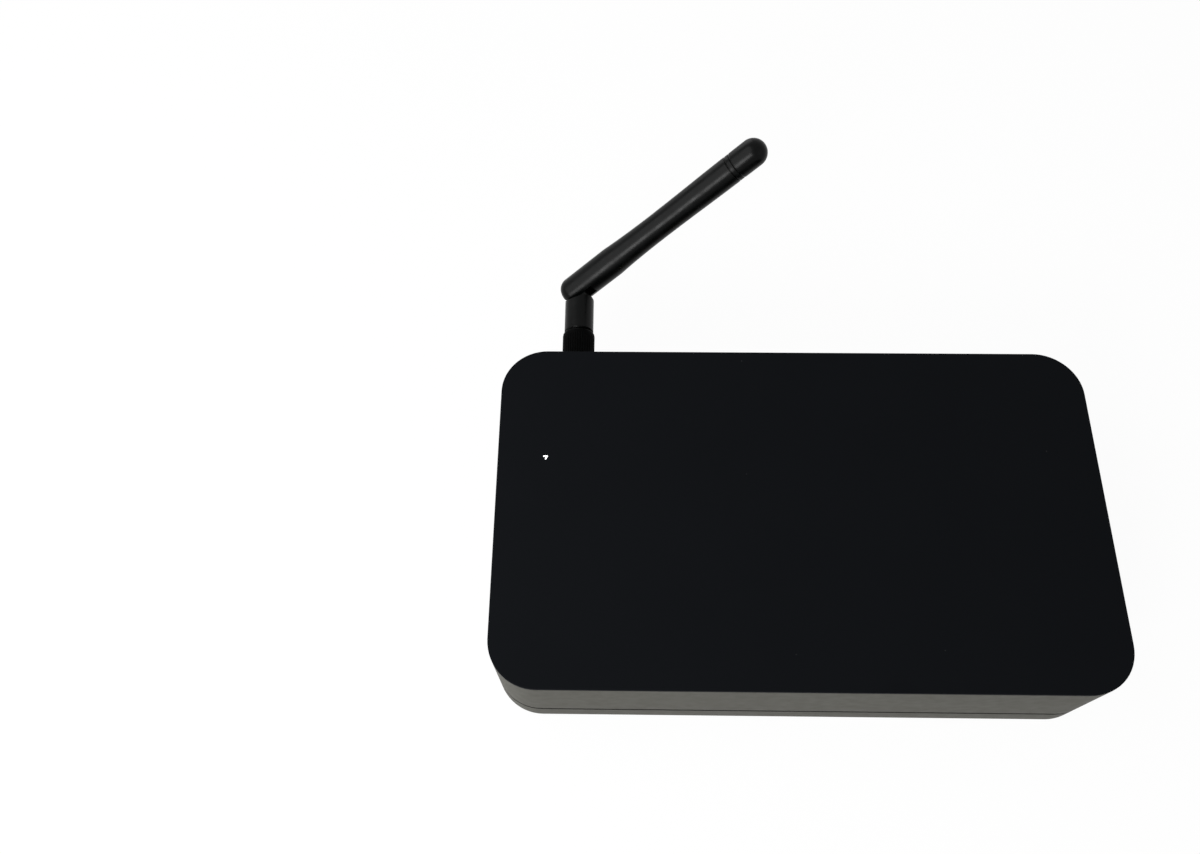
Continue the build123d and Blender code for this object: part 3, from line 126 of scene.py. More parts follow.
def backdrop(tree, plain, share):
    """Mix the plain shader with white, by share, for the rays that see it as a background."""
    path = tree.nodes.new("ShaderNodeLightPath")
    seen = path.outputs["Is Camera Ray"]
    for other in ("Is Glossy Ray", "Is Transmission Ray"):
        either = tree.nodes.new("ShaderNodeMath")
        either.operation = "MAXIMUM"
        tree.links.new(seen, either.inputs[0])
        tree.links.new(path.outputs[other], either.inputs[1])
        seen = either.outputs[0]
    scaled = tree.nodes.new("ShaderNodeMath")
    scaled.operation = "MULTIPLY"
    scaled.inputs[1].default_value = share
    tree.links.new(seen, scaled.inputs[0])
    white = tree.nodes.new("ShaderNodeEmission")
    mix = tree.nodes.new("ShaderNodeMixShader")
    tree.links.new(scaled.outputs[0], mix.inputs[0])
    tree.links.new(plain.outputs[0], mix.inputs[1])
    tree.links.new(white.outputs[0], mix.inputs[2])
    return mix


def add_world():
    world = bpy.data.worlds.new("studio")
    scene.world = world
    world.use_nodes = True
    tree = world.node_tree
    tree.nodes.clear()
    out = tree.nodes.new("ShaderNodeOutputWorld")
    fill = tree.nodes.new("ShaderNodeBackground")
    fill.inputs["Color"].default_value = (1, 1, 1, 1)
    fill.inputs["Strength"].default_value = FILL_STRENGTH
    tree.links.new(backdrop(tree, fill, 1).outputs[0], out.inputs["Surface"])


def add_floor():
    half = FLOOR_HALF
    corners = [(-half, -half, 0), (half, -half, 0), (half, half, 0), (-half, half, 0)]
    mesh = bpy.data.meshes.new("floor")
    mesh.from_pydata(corners, [], [(0, 1, 2, 3)])
    floor = bpy.data.objects.new("floor", mesh)
    scene.collection.objects.link(floor)
    mat = bpy.data.materials.new("floor")
    mat.use_nodes = True
    tree = mat.node_tree
    tree.nodes.clear()
    out = tree.nodes.new("ShaderNodeOutputMaterial")
    matt = tree.nodes.new("ShaderNodeBsdfDiffuse")
    matt.inputs["Color"].default_value = (FLOOR_PALE, FLOOR_PALE, FLOOR_PALE, 1)
    tree.links.new(backdrop(tree, matt, WHITE_SHARE).outputs[0], out.inputs["Surface"])
    mesh.materials.append(mat)


add_camera()
add_world()
add_floor()
for lamp_row in LAMPS:
    add_lamp(*lamp_row)

# Materials
LIP_HEIGHT = 2.0 * MM
GROOVE_HEIGHT = 1.1 * MM
SEAM_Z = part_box("lower_housing")[1].z - LIP_HEIGHT
DARK_BELOW = (0.28 * MM, 0.16 * MM)  # where the painted seam shade ends past the groove, and where it is full
DARK_ABOVE = (0.26 * MM, 0.14 * MM)
# painted shade: the colour laid in and beside the seam groove in place of its shadow
SEAM_SHADE_PAINT = (0.0015, 0.0015, 0.0014)
EDGE_SAMPLES = 4
EDGE_DOTS = (0.985, 0.85)  # cosines of a bend that starts to show wear and that shows it all
SPECK_CORE = 0.6
SPECK_CUT = 0.001
CLOUD_DETAIL, FINE_DETAIL = 4, 3
POLISH_FINER = 5
POLISH_RANGE = (0.3, 0.7)
BUMP_STRENGTH = 0.6


def value_noise(tree, place, scale, detail, stretch=(1, 1, 1)):
    """Fac output of a noise texture, its pattern stretched along each axis."""
    if stretch != (1, 1, 1):
        mapping = tree.nodes.new("ShaderNodeMapping")
        mapping.inputs["Scale"].default_value = stretch
        tree.links.new(place, mapping.inputs["Vector"])
        place = mapping.outputs["Vector"]
    noise = tree.nodes.new("ShaderNodeTexNoise")
    noise.inputs["Scale"].default_value = scale
    noise.inputs["Detail"].default_value = detail
    tree.links.new(place, noise.inputs["Vector"])
    return noise.outputs["Fac"]


def ranged(tree, value, low, high, to_low, to_high):
    """The value brought from the range low..high to the range to_low..to_high."""
    node = tree.nodes.new("ShaderNodeMapRange")
    limits = {"From Min": low, "From Max": high, "To Min": to_low, "To Max": to_high}
    for name, number in limits.items():
        node.inputs[name].default_value = number
    tree.links.new(value, node.inputs["Value"])
    return node.outputs["Result"]


def blended(tree, share, first, second):
    """Colour mixed by share from first to second; each is a colour or an output."""
    node = tree.nodes.new("ShaderNodeMix")
    node.data_type = "RGBA"
    for side, colour in (("A", first), ("B", second)):
        if isinstance(colour, tuple):
            node.inputs[side].default_value = (*colour, 1)
        else:
            tree.links.new(colour, node.inputs[side])
    tree.links.new(share, node.inputs["Factor"])
    return node.outputs["Result"]


def multiplied(tree, first, second):
    node = tree.nodes.new("ShaderNodeMath")
    node.operation = "MULTIPLY"
    tree.links.new(first, node.inputs[0])
    tree.links.new(second, node.inputs[1])
    return node.outputs[0]


def edge_share(tree, width):
    """1 on edges sharper than the width and 0 on faces."""
    rounded = tree.nodes.new("ShaderNodeBevel")
    rounded.samples = EDGE_SAMPLES
    rounded.inputs["Radius"].default_value = width
    plain = tree.nodes.new("ShaderNodeNewGeometry")
    dot = tree.nodes.new("ShaderNodeVectorMath")
    dot.operation = "DOT_PRODUCT"
    tree.links.new(rounded.outputs["Normal"], dot.inputs[0])
    tree.links.new(plain.outputs["Normal"], dot.inputs[1])
    return ranged(tree, dot.outputs["Value"], *EDGE_DOTS, 0, 1)


def specks(tree, place, scale, size, density):
    """1 inside sparse round specks of the given size, 0 between them."""
    cells = tree.nodes.new("ShaderNodeTexVoronoi")
    cells.inputs["Scale"].default_value = scale
    tree.links.new(place, cells.inputs["Vector"])
    near = ranged(tree, cells.outputs["Distance"], size, size * SPECK_CORE, 0, 1)
    picked = tree.nodes.new("ShaderNodeSeparateColor")
    tree.links.new(cells.outputs["Color"], picked.inputs[0])
    chosen = ranged(tree, picked.outputs[0], 1 - density, 1 - density + SPECK_CUT, 0, 1)
    return multiplied(tree, near, chosen)


def surface(name, colour, rough, metallic=0.0, specular=0.5, grain=6000, relief=0.02,
            spread=0.06, shade=0.08, shade_scale=60, stretch=(1, 1, 1), wear=None,
            wear_width=0.25, coat=0.0, glow=0.0, flecks=None, pattern=None):
    """Principled material with uneven colour and gloss, fine relief, worn edges and specks.

    Relief and wear_width are in millimetres.
    """
    mat = bpy.data.materials.new(name)
    mat.use_nodes = True
    tree = mat.node_tree
    tree.nodes.clear()
    out = tree.nodes.new("ShaderNodeOutputMaterial")
    body = tree.nodes.new("ShaderNodeBsdfPrincipled")
    tree.links.new(body.outputs[0], out.inputs["Surface"])
    body.inputs["Metallic"].default_value = metallic
    body.inputs["Specular IOR Level"].default_value = specular
    body.inputs["Coat Weight"].default_value = coat
    if glow:
        body.inputs["Emission Color"].default_value = (1, 1, 1, 1)
        body.inputs["Emission Strength"].default_value = glow
    place = tree.nodes.new("ShaderNodeTexCoord").outputs["Object"]

    dark = tuple(channel * (1 - shade) for channel in colour)
    light = tuple(min(1, channel * (1 + shade)) for channel in colour)
    cloud = value_noise(tree, place, shade_scale, CLOUD_DETAIL)
    tone = blended(tree, cloud, dark, light)
    if pattern:
        tone = pattern(tree, place, tone)
    polish = value_noise(tree, place, shade_scale * POLISH_FINER, FINE_DETAIL)
    gloss = ranged(tree, polish, *POLISH_RANGE, rough - spread, rough + spread)
    tree.links.new(gloss, body.inputs["Roughness"])
    bump = tree.nodes.new("ShaderNodeBump")
    bump.inputs["Distance"].default_value = relief * MM
    bump.inputs["Strength"].default_value = BUMP_STRENGTH
    grains = value_noise(tree, place, grain, FINE_DETAIL, stretch)
    tree.links.new(grains, bump.inputs["Height"])
    tree.links.new(bump.outputs["Normal"], body.inputs["Normal"])
    if wear:
        rubbed = multiplied(tree, edge_share(tree, wear_width * MM), polish)
        tone = blended(tree, rubbed, tone, wear)
    if flecks:
        fleck_colour, scale, size, density = flecks
        tone = blended(tree, specks(tree, place, scale, size, density), tone, fleck_colour)
    tree.links.new(tone, body.inputs["Base Color"])
    return mat


def circuit(tree, place, tone):
    """Copper tracks and plated pads under a board's green mask."""
    cells = tree.nodes.new("ShaderNodeTexVoronoi")
    cells.distance = "MANHATTAN"
    cells.inputs["Scale"].default_value = 330
    tree.links.new(place, cells.inputs["Vector"])
    track = ranged(tree, cells.outputs["Distance"], 0.50, 0.56, 0, 0.8)
    tone = blended(tree, track, tone, (0.02, 0.14, 0.05))
    return blended(tree, specks(tree, place, 420, 0.2, 0.25), tone, (0.62, 0.6, 0.52))


def smudged(tree, place, tone):
    """Faint dark wipes on the cover."""
    wipe = ranged(tree, value_noise(tree, place, 22, 2), 0.66, 0.78, 0, 0.45)
    return blended(tree, wipe, tone, (0.0030, 0.0033, 0.0038))


def painted_seam_shade(tree, place, tone):
    """Painted shade: dark colour inside the groove between the two housings, and a little past it,
    in place of the groove's shadow.
    """
    parts = tree.nodes.new("ShaderNodeSeparateXYZ")
    tree.links.new(place, parts.inputs[0])
    level = parts.outputs["Z"]
    low = SEAM_Z - GROOVE_HEIGHT
    above = ranged(tree, level, low - DARK_BELOW[0], low - DARK_BELOW[1], 0, 1)
    below = ranged(tree, level, SEAM_Z + DARK_ABOVE[1], SEAM_Z + DARK_ABOVE[0], 1, 0)
    return blended(tree, multiplied(tree, above, below), tone, SEAM_SHADE_PAINT)


LOOKS = {
    "cover_black": dict(
        colour=(0.0053, 0.0059, 0.0070), rough=0.45, specular=0.008, grain=9000, relief=0.006,
        spread=0.02, shade=0.07, shade_scale=30, wear=(0.006, 0.006, 0.0065), wear_width=0.2,
        flecks=((0.035, 0.035, 0.036), 260, 0.05, 0.08), pattern=smudged),
    # the housing grey carries painted shade in and beside the seam groove
    "housing_grey": dict(
        colour=(0.068, 0.0665, 0.0565), rough=0.5, specular=0.03, grain=7000, relief=0.008,
        spread=0.04, shade=0.03, wear=(0.15, 0.147, 0.13), pattern=painted_seam_shade),
    "panel_black": dict(
        colour=(0.010, 0.010, 0.011), rough=0.6, specular=0.2, grain=4000, relief=0.03,
        shade=0.12, wear=(0.04, 0.04, 0.04)),
    "foot_rubber": dict(
        colour=(0.02, 0.02, 0.021), rough=0.8, specular=0.2, grain=3000, relief=0.04,
        shade=0.2, flecks=((0.1, 0.1, 0.1), 900, 0.12, 0.1)),
    "screw_steel": dict(
        colour=(0.28, 0.28, 0.3), rough=0.32, metallic=1.0, grain=5000, relief=0.01,
        wear=(0.6, 0.6, 0.62)),
    "board_green": dict(
        colour=(0.008, 0.07, 0.03), rough=0.35, grain=2500, relief=0.02, shade=0.2, coat=0.4,
        pattern=circuit),
    "light_clear": dict(
        colour=(0.92, 0.93, 0.95), rough=0.25, grain=3000, relief=0.005, shade=0.02, glow=1.0),
    "socket_metal": dict(
        colour=(0.62, 0.62, 0.6), rough=0.28, metallic=1.0, grain=2500, relief=0.006,
        stretch=(1, 0.08, 1), wear=(0.8, 0.8, 0.78)),
    "socket_black": dict(
        colour=(0.011, 0.011, 0.012), rough=0.5, specular=0.3, grain=5000, relief=0.015,
        wear=(0.05, 0.05, 0.05)),
    "phono_white": dict(
        colour=(0.8, 0.79, 0.76), rough=0.3, grain=3000, relief=0.006, shade=0.03),
    "phono_red": dict(
        colour=(0.5, 0.012, 0.012), rough=0.3, grain=3000, relief=0.006, shade=0.06),
    "phono_orange": dict(
        colour=(0.75, 0.17, 0.012), rough=0.3, grain=3000, relief=0.006, shade=0.06),
    "contact_gold": dict(
        colour=(0.8, 0.58, 0.24), rough=0.26, metallic=1.0, grain=4000, relief=0.008,
        wear=(0.9, 0.72, 0.4)),
    "antenna_black": dict(
        colour=(0.0008, 0.0010, 0.0010), rough=0.31, specular=0.085, grain=5000, relief=0.012,
        shade=0.12, wear=(0.02, 0.02, 0.02), wear_width=0.15),
    "coupling_black": dict(
        colour=(0.0009, 0.0010, 0.0010), rough=0.45, specular=0.015, grain=4000, relief=0.01,
        wear=(0.02, 0.02, 0.02), wear_width=0.12),
    "insulator_white": dict(
        colour=(0.82, 0.82, 0.8), rough=0.5, grain=3000, relief=0.01, shade=0.04),
    "chip_black": dict(
        colour=(0.018, 0.018, 0.019), rough=0.6, grain=4000, relief=0.02, shade=0.1),
    "capacitor_can": dict(
        colour=(0.55, 0.55, 0.56), rough=0.35, metallic=0.8, grain=3000, relief=0.01),
    "ferrite_grey": dict(
        colour=(0.075, 0.075, 0.08), rough=0.7, grain=2500, relief=0.04, shade=0.15),
    "shield_tin": dict(
        colour=(0.58, 0.58, 0.56), rough=0.38, metallic=1.0, grain=2500, relief=0.01),
    "pad_grey": dict(colour=(0.34, 0.38, 0.42), rough=0.8, grain=2500, relief=0.03),
    "sink_black": dict(
        colour=(0.03, 0.03, 0.032), rough=0.45, metallic=0.5, grain=4000, relief=0.01),
    "lead_grey": dict(colour=(0.16, 0.16, 0.17), rough=0.45, grain=3000, relief=0.01),
}
FINISH = {name: surface(name, **look) for name, look in LOOKS.items()}

# Outlines: lists of (u, v) points in millimetres, anticlockwise
ARC_STEPS = 4
MITRE_LIMIT = 0.5
PARALLEL = 1e-9
SHARE_SLACK = 1e-6
ANGLE_STEP = 0.01


def curved(corners):
    """Outline of (u, v, radius) corners, each corner with a radius turned into a small arc."""
    outline = []
    for i, (u, v, radius) in enumerate(corners):
        here = Vector((u, v))
        if not radius:
            outline.append(here)
            continue
        before = Vector(corners[i - 1][:2]) - here
        after = Vector(corners[(i + 1) % len(corners)][:2]) - here
        reach = radius / tan(before.angle(after) / 2)
        start = here + before.normalized() * reach
        end = here + after.normalized() * reach
        for k in range(ARC_STEPS + 1):
            t = k / ARC_STEPS
            outline.append(start.lerp(here, t).lerp(here.lerp(end, t), t))
    return outline


def mirrored(corners):
    """Outline from its left side's (u, v, radius) corners, from the top down."""
    return curved(corners + [(-u, v, radius) for u, v, radius in reversed(corners)])


def rectangle(width, height, radius, u=0, v=0):
    half_w, half_h = width / 2, height / 2
    signs = ((-1, -1), (1, -1), (1, 1), (-1, 1))
    return curved([(u + a * half_w, v + b * half_h, radius) for a, b in signs])


def circle(radius, count=48):
    turns = [2 * pi * k / count for k in range(count)]
    return [Vector((radius * cos(turn), radius * sin(turn))) for turn in turns]


def cross(reach, half):
    """Cross whose four arms reach out from the middle, each half wide to either side."""
    arm = [(reach, -half), (reach, half), (half, half)]
    outline = []
    for _ in range(4):
        outline += [Vector(point) for point in arm]
        arm = [(-v, u) for u, v in arm]
    return outline


def divided(outline, step):
    """The closed outline with points about a step apart."""
    finer = []
    for here, after in zip(outline, outline[1:] + outline[:1]):
        parts = max(1, round((after - here).length / step))
        finer += [here.lerp(after, k / parts) for k in range(parts)]
    return finer


def shrunk(outline, amount):
    """The outline moved inward by the amount, or outward if it is negative."""
    if not amount:
        return outline
    moved = []
    for i, here in enumerate(outline):
        before = (here - outline[i - 1]).normalized()
        after = (outline[(i + 1) % len(outline)] - here).normalized()
        along = (before + after).normalized()
        inward = Vector((-along.y, along.x))
        moved.append(here + inward * amount / max(MITRE_LIMIT, along.dot(before)))
    return moved


def crossing(outline, angle):
    """Where a ray from the origin at the angle leaves the outline."""
    ray = Vector((cos(angle), sin(angle)))
    reach = 0
    for here, after in zip(outline, outline[1:] + outline[:1]):
        edge = after - here
        slope = edge.x * ray.y - edge.y * ray.x
        if abs(slope) > PARALLEL:
            share = (here.y * ray.x - here.x * ray.y) / slope
            if -SHARE_SLACK <= share <= 1 + SHARE_SLACK:
                reach = max(reach, (here + edge * share).dot(ray))
    return ray * reach


def matched(*outlines):
    """The outlines with points at one common set of angles, so that they can be joined."""
    angles = []
    for angle in sorted(atan2(p.y, p.x) for outline in outlines for p in outline):
        if not angles or angle - angles[-1] > ANGLE_STEP:
            angles.append(angle)
    return [[crossing(outline, angle) for angle in angles] for outline in outlines]


# Frames and loops
SOFT_STEPS, BAR_STEPS = 3, 2
TURNED_SIDES, FINE_SIDES, SMALL_SIDES, PIN_SIDES, SHAFT_SIDES = 96, 128, 64, 48, 32
POINT_SIZE = 1e-7
DOUBLE_GAP = 2e-7
CAD_GAP = 1e-6
SHARP_ANGLE = radians(32)
FLAT_ANGLE = radians(0.5)


def axes(origin, along, across):
    """Frame in millimetres at origin, which is in metres: Z runs along, X across."""
    z = Vector(along).normalized()
    x = Vector(across).normalized()
    turn = Matrix((x, z.cross(x), z)).transposed().to_4x4()
    return Matrix.Translation(origin) @ turn @ Matrix.Scale(MM, 4)


def soft(low, high, edge, steps=SOFT_STEPS):
    """(level, inset) pairs from low to high with both ends rounded by the edge radius."""
    way = 1 if high > low else -1
    start, end = [], []
    for k in range(steps + 1):
        turn = pi / 2 * k / steps
        down, inset = way * edge * (1 - cos(turn)), edge * (1 - sin(turn))
        start.append((low + down, inset))
        end.append((high - down, inset))
    return start + end[::-1]


def hole(mouth, floor, edge):
    """Stations of a hole from its rounded mouth down to its floor."""
    rim = soft(mouth, floor, edge)[:SOFT_STEPS + 1]
    return [(level, -inset) for level, inset in rim] + [(floor, 0)]


def layers(place, outline, stations):
    """The outline at each (level, inset) station."""
    return [[place @ Vector((p.x, p.y, level)) for p in shrunk(outline, inset)]
            for level, inset in stations]


def turned(place, profile, count=TURNED_SIDES, ripple=None):
    """Loops of an (along, radius) profile turned about Z; ripple may change the radius."""
    loops = []
    for along, radius in profile:
        loop = []
        for k in range(count):
            turn = 2 * pi * k / count
            reach = ripple(along, radius, turn) if ripple else radius
            loop.append(place @ Vector((reach * cos(turn), reach * sin(turn), along)))
        loops.append(loop)
    return loops


def bar(place, size, centre, edge):
    """Shell of a block with rounded edges, size and centre in the frame's millimetres."""
    wide, tall, deep = size
    u, v, level = centre
    outline = rectangle(wide, tall, min(edge, wide / 3, tall / 3), u, v)
    stations = soft(level - deep / 2, level + deep / 2, min(edge, deep / 3), BAR_STEPS)
    return layers(place, outline, stations), False


def piece(name, shells, stands_for=(), slot=None):
    """Object made of (loops, ring) shells.

    A ring's last loop meets its first, and other shells are capped. Without a node that it
    stands for, the piece has its own slot and belongs to the case.
    """
    made = bmesh.new()
    for loops, ring in shells:
        fresh = bmesh.new()
        rows = [[fresh.verts.new(point) for point in loop] for loop in loops]
        count = len(rows[0])
        for lower, upper in zip(rows, rows[1:] + (rows[:1] if ring else [])):
            for k in range(count):
                after = (k + 1) % count
                fresh.faces.new((lower[k], lower[after], upper[after], upper[k]))
        if not ring:
            for row in (rows[0], rows[-1]):
                if (row[0].co - row[count // 2].co).length > POINT_SIZE:
                    fresh.faces.new(row)
        bmesh.ops.remove_doubles(fresh, verts=fresh.verts, dist=DOUBLE_GAP)
        bmesh.ops.recalc_face_normals(fresh, faces=fresh.faces)
        shell = bpy.data.meshes.new("shell")
        fresh.to_mesh(shell)
        fresh.free()
        made.from_mesh(shell)
        bpy.data.meshes.remove(shell)
    mesh = bpy.data.meshes.new(name)
    made.to_mesh(mesh)
    made.free()
    obj = bpy.data.objects.new(name, mesh)
    scene.collection.objects.link(obj)
    body = "case"
    if stands_for:
        slot = slot_of[stands_for[0]]
        body = nodes[stands_for[0]]["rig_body"]
        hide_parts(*stands_for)
    mesh.materials.append(FINISH[slot])
    mesh.shade_smooth()
    mesh.set_sharp_from_angle(angle=SHARP_ANGLE)
    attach(obj, body)


def soften(name, edge):
    """Round a carried-over CAD node's sharp edges by the edge radius, in millimetres."""
    obj = nodes[name]
    custom = obj.data.attributes.get("custom_normal")
    if custom:
        obj.data.attributes.remove(custom)
    obj.data.shade_smooth()
    weld = obj.modifiers.new("weld", "WELD")
    weld.merge_threshold = CAD_GAP
    flat = obj.modifiers.new("flat", "DECIMATE")
    flat.decimate_type = "DISSOLVE"
    flat.angle_limit = FLAT_ANGLE
    bevel = obj.modifiers.new("edges", "BEVEL")
    bevel.width = edge * MM
    bevel.segments = 2
    bevel.limit_method = "ANGLE"
    bevel.angle_limit = SHARP_ANGLE
    bevel.harden_normals = True


def socket(x, z, y=None):
    """Frame on the rear panel's face, seen from behind: Z points out of the panel, Y up."""
    return axes((x, PANEL_Y if y is None else y, z), (0, 1, 0), (-1, 0, 0))


def standing(x, y, z):
    """Upright frame at a point in metres."""
    return axes((x, y, z), (0, 0, 1), (1, 0, 0))


def middle(name):
    low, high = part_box(name)
    return (low + high) / 2


def solids(name):
    """(lowest, highest) corner of each separate solid of a CAD node, in metres."""
    made = bmesh.new()
    made.from_mesh(nodes[name].data)
    bmesh.ops.remove_doubles(made, verts=made.verts, dist=CAD_GAP)
    left = set(made.verts)
    boxes = []
    while left:
        stack = [left.pop()]
        found = []
        while stack:
            vert = stack.pop()
            found.append(vert.co.copy())
            for edge in vert.link_edges:
                other = edge.other_vert(vert)
                if other in left:
                    left.discard(other)
                    stack.append(other)
        boxes.append((Vector(map(min, zip(*found))), Vector(map(max, zip(*found)))))
    made.free()
    return sorted(boxes, key=lambda box: tuple(box[0]))


# Places taken from the frame
REAR_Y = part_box("bulkhead_washer")[0].y
PANEL_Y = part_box("rear_panel")[1].y
BOARD_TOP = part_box("status_led")[0].z
BACKWARD = Vector((0, 1, 0))
PIVOT = Vector(joints["antenna_tilt"]["pos_m"])
PIN_DIR = Vector(joints["antenna_tilt"]["axis"])
REST_TILT = -radians(joints["antenna_tilt"]["range_deg"][0])
ARM_DIR = BACKWARD * cos(REST_TILT) + PIN_DIR.cross(BACKWARD) * sin(REST_TILT)
ANTENNA = axes((PIVOT.x, REAR_Y, PIVOT.z), BACKWARD, (1, 0, 0))
ARM = axes(PIVOT, ARM_DIR, PIN_DIR)

# Coupling nut; distances along ANTENNA are from the case's rear face, in millimetres
NUT_START, NUT_END, NUT_RADIUS, NUT_BORE = 3.2, 14.1, 5.38, 3.245
ROOM_START, ROOM_END, ROOM_RADIUS = 11.3, 12.9, 4.195  # for the plug's flange
FLUTES, FLUTE_DEPTH, FLUTE_HALF, SIDES_A_FLUTE = 40, 0.24, 0.3, 12
FLUTE_START, FLUTE_END, FLUTE_FADE = 3.7, 12.2, 0.35
NUT_STEP = 0.3
OUTSIDE_SLACK = 0.01  # a radius this near the outermost counts as outside


def fluted(along, radius, turn):
    """Radius of the coupling nut's outside, lowered in each flute."""
    pitch = 2 * pi / FLUTES
    aside = abs((turn + pitch / 2) % pitch - pitch / 2) * radius
    if radius < NUT_RADIUS - OUTSIDE_SLACK or aside > FLUTE_HALF:
        return radius
    ends = min(along - FLUTE_START, FLUTE_END - along) / FLUTE_FADE
    depth = FLUTE_DEPTH * min(1, max(0, ends))
    return radius - depth * (0.5 + 0.5 * cos(pi * aside / FLUTE_HALF))


nut_profile = curved([
    (NUT_START, NUT_BORE, 0.12), (ROOM_START, NUT_BORE, 0.1), (ROOM_START, ROOM_RADIUS, 0),
    (ROOM_END, ROOM_RADIUS, 0), (ROOM_END, NUT_BORE, 0.1), (NUT_END, NUT_BORE, 0.12),
    (NUT_END, NUT_RADIUS, 1.2), (NUT_START, NUT_RADIUS, 0.3)])
nut_loops = turned(ANTENNA, divided(nut_profile, NUT_STEP), FLUTES * SIDES_A_FLUTE, fluted)
piece("coupling_nut_fluted", [(nut_loops, True)], ["coupling_nut"])

# Bulkhead connector with its screw thread, hexagonal flange, nut and washer
PITCH, THREAD_RADIUS, THREAD_DEPTH, THREAD_END = 25.4 / 36, 3.175, 0.36, 10.0
THREAD_STEP, RUN_OUT = 0.07, 0.3
CREST_SHARE, FLANK_SHARE = 0.15, 0.7
TAIL_END, TAIL_STEP, TAIL_BORE, TAIL_RADIUS = -9.0, -6.0, 0.6, 1.9
CORE_BORE, MOUTH_FLOOR, MOUTH_BORE = 1.4, 4.5, 2.3
FLANGE_BACK, FLANGE_FRONT, FLANGE_BORE = -4.2, -2.2, 1.85
WASHER_THICK, WASHER_RADIUS, HEX_NUT_END = 0.6, 5.2, 2.6
HEX_WIDTH, HEX_CORNER, HEX_FACE, HEX_CHAMFER = 8, 4.7, 4.15, 0.3


def threaded(along, radius, turn):
    """Radius of a right-handed screw thread, plain at its two ends."""
    if radius < THREAD_RADIUS - OUTSIDE_SLACK or along < 0 or along > THREAD_END - RUN_OUT:
        return radius
    phase = (along / PITCH - turn / (2 * pi)) % 1
    flank = min(1, max(0, (abs(2 * phase - 1) - CREST_SHARE) / FLANK_SHARE))
    return radius - THREAD_DEPTH * flank * min(1, along / RUN_OUT)


def hexed(along, radius, turn):
    """Radius kept inside the hexagon of the connector's flange and nut."""
    return min(radius, HEX_WIDTH / 2 / cos(turn % (pi / 3) - pi / 6))


bulkhead_profile = curved([
    (TAIL_END, TAIL_BORE, 0), (TAIL_STEP, TAIL_BORE, 0), (TAIL_STEP, CORE_BORE, 0),
    (MOUTH_FLOOR, CORE_BORE, 0), (MOUTH_FLOOR, MOUTH_BORE, 0), (THREAD_END, MOUTH_BORE, 0.1),
    (THREAD_END, THREAD_RADIUS - RUN_OUT, 0), (THREAD_END - RUN_OUT, THREAD_RADIUS, 0),
    (FLANGE_FRONT, THREAD_RADIUS, 0), (FLANGE_FRONT, TAIL_RADIUS, 0),
    (TAIL_END, TAIL_RADIUS, 0.2)])
flange_profile = [
    (FLANGE_BACK, FLANGE_BORE), (FLANGE_FRONT, FLANGE_BORE), (FLANGE_FRONT, HEX_CORNER),
    (FLANGE_BACK + 0.25, HEX_CORNER), (FLANGE_BACK, 4.2)]
hex_nut_profile = [
    (WASHER_THICK, THREAD_RADIUS), (HEX_NUT_END, THREAD_RADIUS), (HEX_NUT_END, HEX_FACE),
    (HEX_NUT_END - HEX_CHAMFER, HEX_CORNER), (WASHER_THICK + HEX_CHAMFER, HEX_CORNER),
    (WASHER_THICK, HEX_FACE)]
washer_profile = curved([
    (0, THREAD_RADIUS, 0.05), (WASHER_THICK, THREAD_RADIUS, 0.1),
    (WASHER_THICK, WASHER_RADIUS, 0.2), (0, WASHER_RADIUS, 0.05)])
piece("bulkhead_threaded", [
    (turned(ANTENNA, divided(bulkhead_profile, THREAD_STEP), ripple=threaded), True),
    (turned(ANTENNA, flange_profile, ripple=hexed), True)], ["antenna_bulkhead"])
piece("bulkhead_hex_nut", [(turned(ANTENNA, hex_nut_profile, ripple=hexed), True)],
      ["bulkhead_nut"])
piece("bulkhead_washer_round", [(turned(ANTENNA, washer_profile), True)],
      ["bulkhead_washer"])

# Tip cap and elbow pin; distances along ARM are from the elbow pin's axis
SLEEVE_END, GROOVE, BAND, BAND_DROP = 66.0, 0.45, 1.3, 0.05
TIP_RADIUS, GROOVE_RADIUS = 4.67, 4.07
ARM_LENGTH, SPIGOT_LENGTH, SPIGOT_RADIUS = 79.2, 8.0, 2.5
BAND_START = SLEEVE_END + GROOVE
BAND_END = BAND_START + BAND
BAND_RADIUS = TIP_RADIUS - BAND_DROP
DOME_START = ARM_LENGTH - TIP_RADIUS
DOME_STEPS = 24
PIN_HALF, PIN_RADIUS = 3.8, 1.0
cap_profile = curved([
    (SLEEVE_END - SPIGOT_LENGTH, 0, 0), (SLEEVE_END - SPIGOT_LENGTH, SPIGOT_RADIUS, 0.2),
    (SLEEVE_END, SPIGOT_RADIUS, 0), (SLEEVE_END, GROOVE_RADIUS, 0),
    (BAND_START, GROOVE_RADIUS, 0.08), (BAND_START, BAND_RADIUS, 0.12),
    (BAND_END, BAND_RADIUS, 0.12), (BAND_END, GROOVE_RADIUS, 0.08),
    (BAND_END + GROOVE, GROOVE_RADIUS, 0.08), (BAND_END + GROOVE, TIP_RADIUS, 0.12),
    (DOME_START, TIP_RADIUS, 0)])
for k in range(1, DOME_STEPS):
    turn = pi / 2 * k / DOME_STEPS
    cap_profile.append(Vector((DOME_START + TIP_RADIUS * sin(turn), TIP_RADIUS * cos(turn))))
cap_profile.append(Vector((ARM_LENGTH, 0)))
pin_profile = curved([
    (-PIN_HALF, 0, 0), (-PIN_HALF, PIN_RADIUS, 0.2), (PIN_HALF, PIN_RADIUS, 0.2),
    (PIN_HALF, 0, 0)])
piece("antenna_tip_domed", [(turned(ARM, cap_profile, FINE_SIDES), False)],
      ["antenna_tip_cap"])
piece("elbow_pin_round", [
    (turned(axes(PIVOT, PIN_DIR, ARM_DIR), pin_profile, PIN_SIDES), False)], ["elbow_pin"])

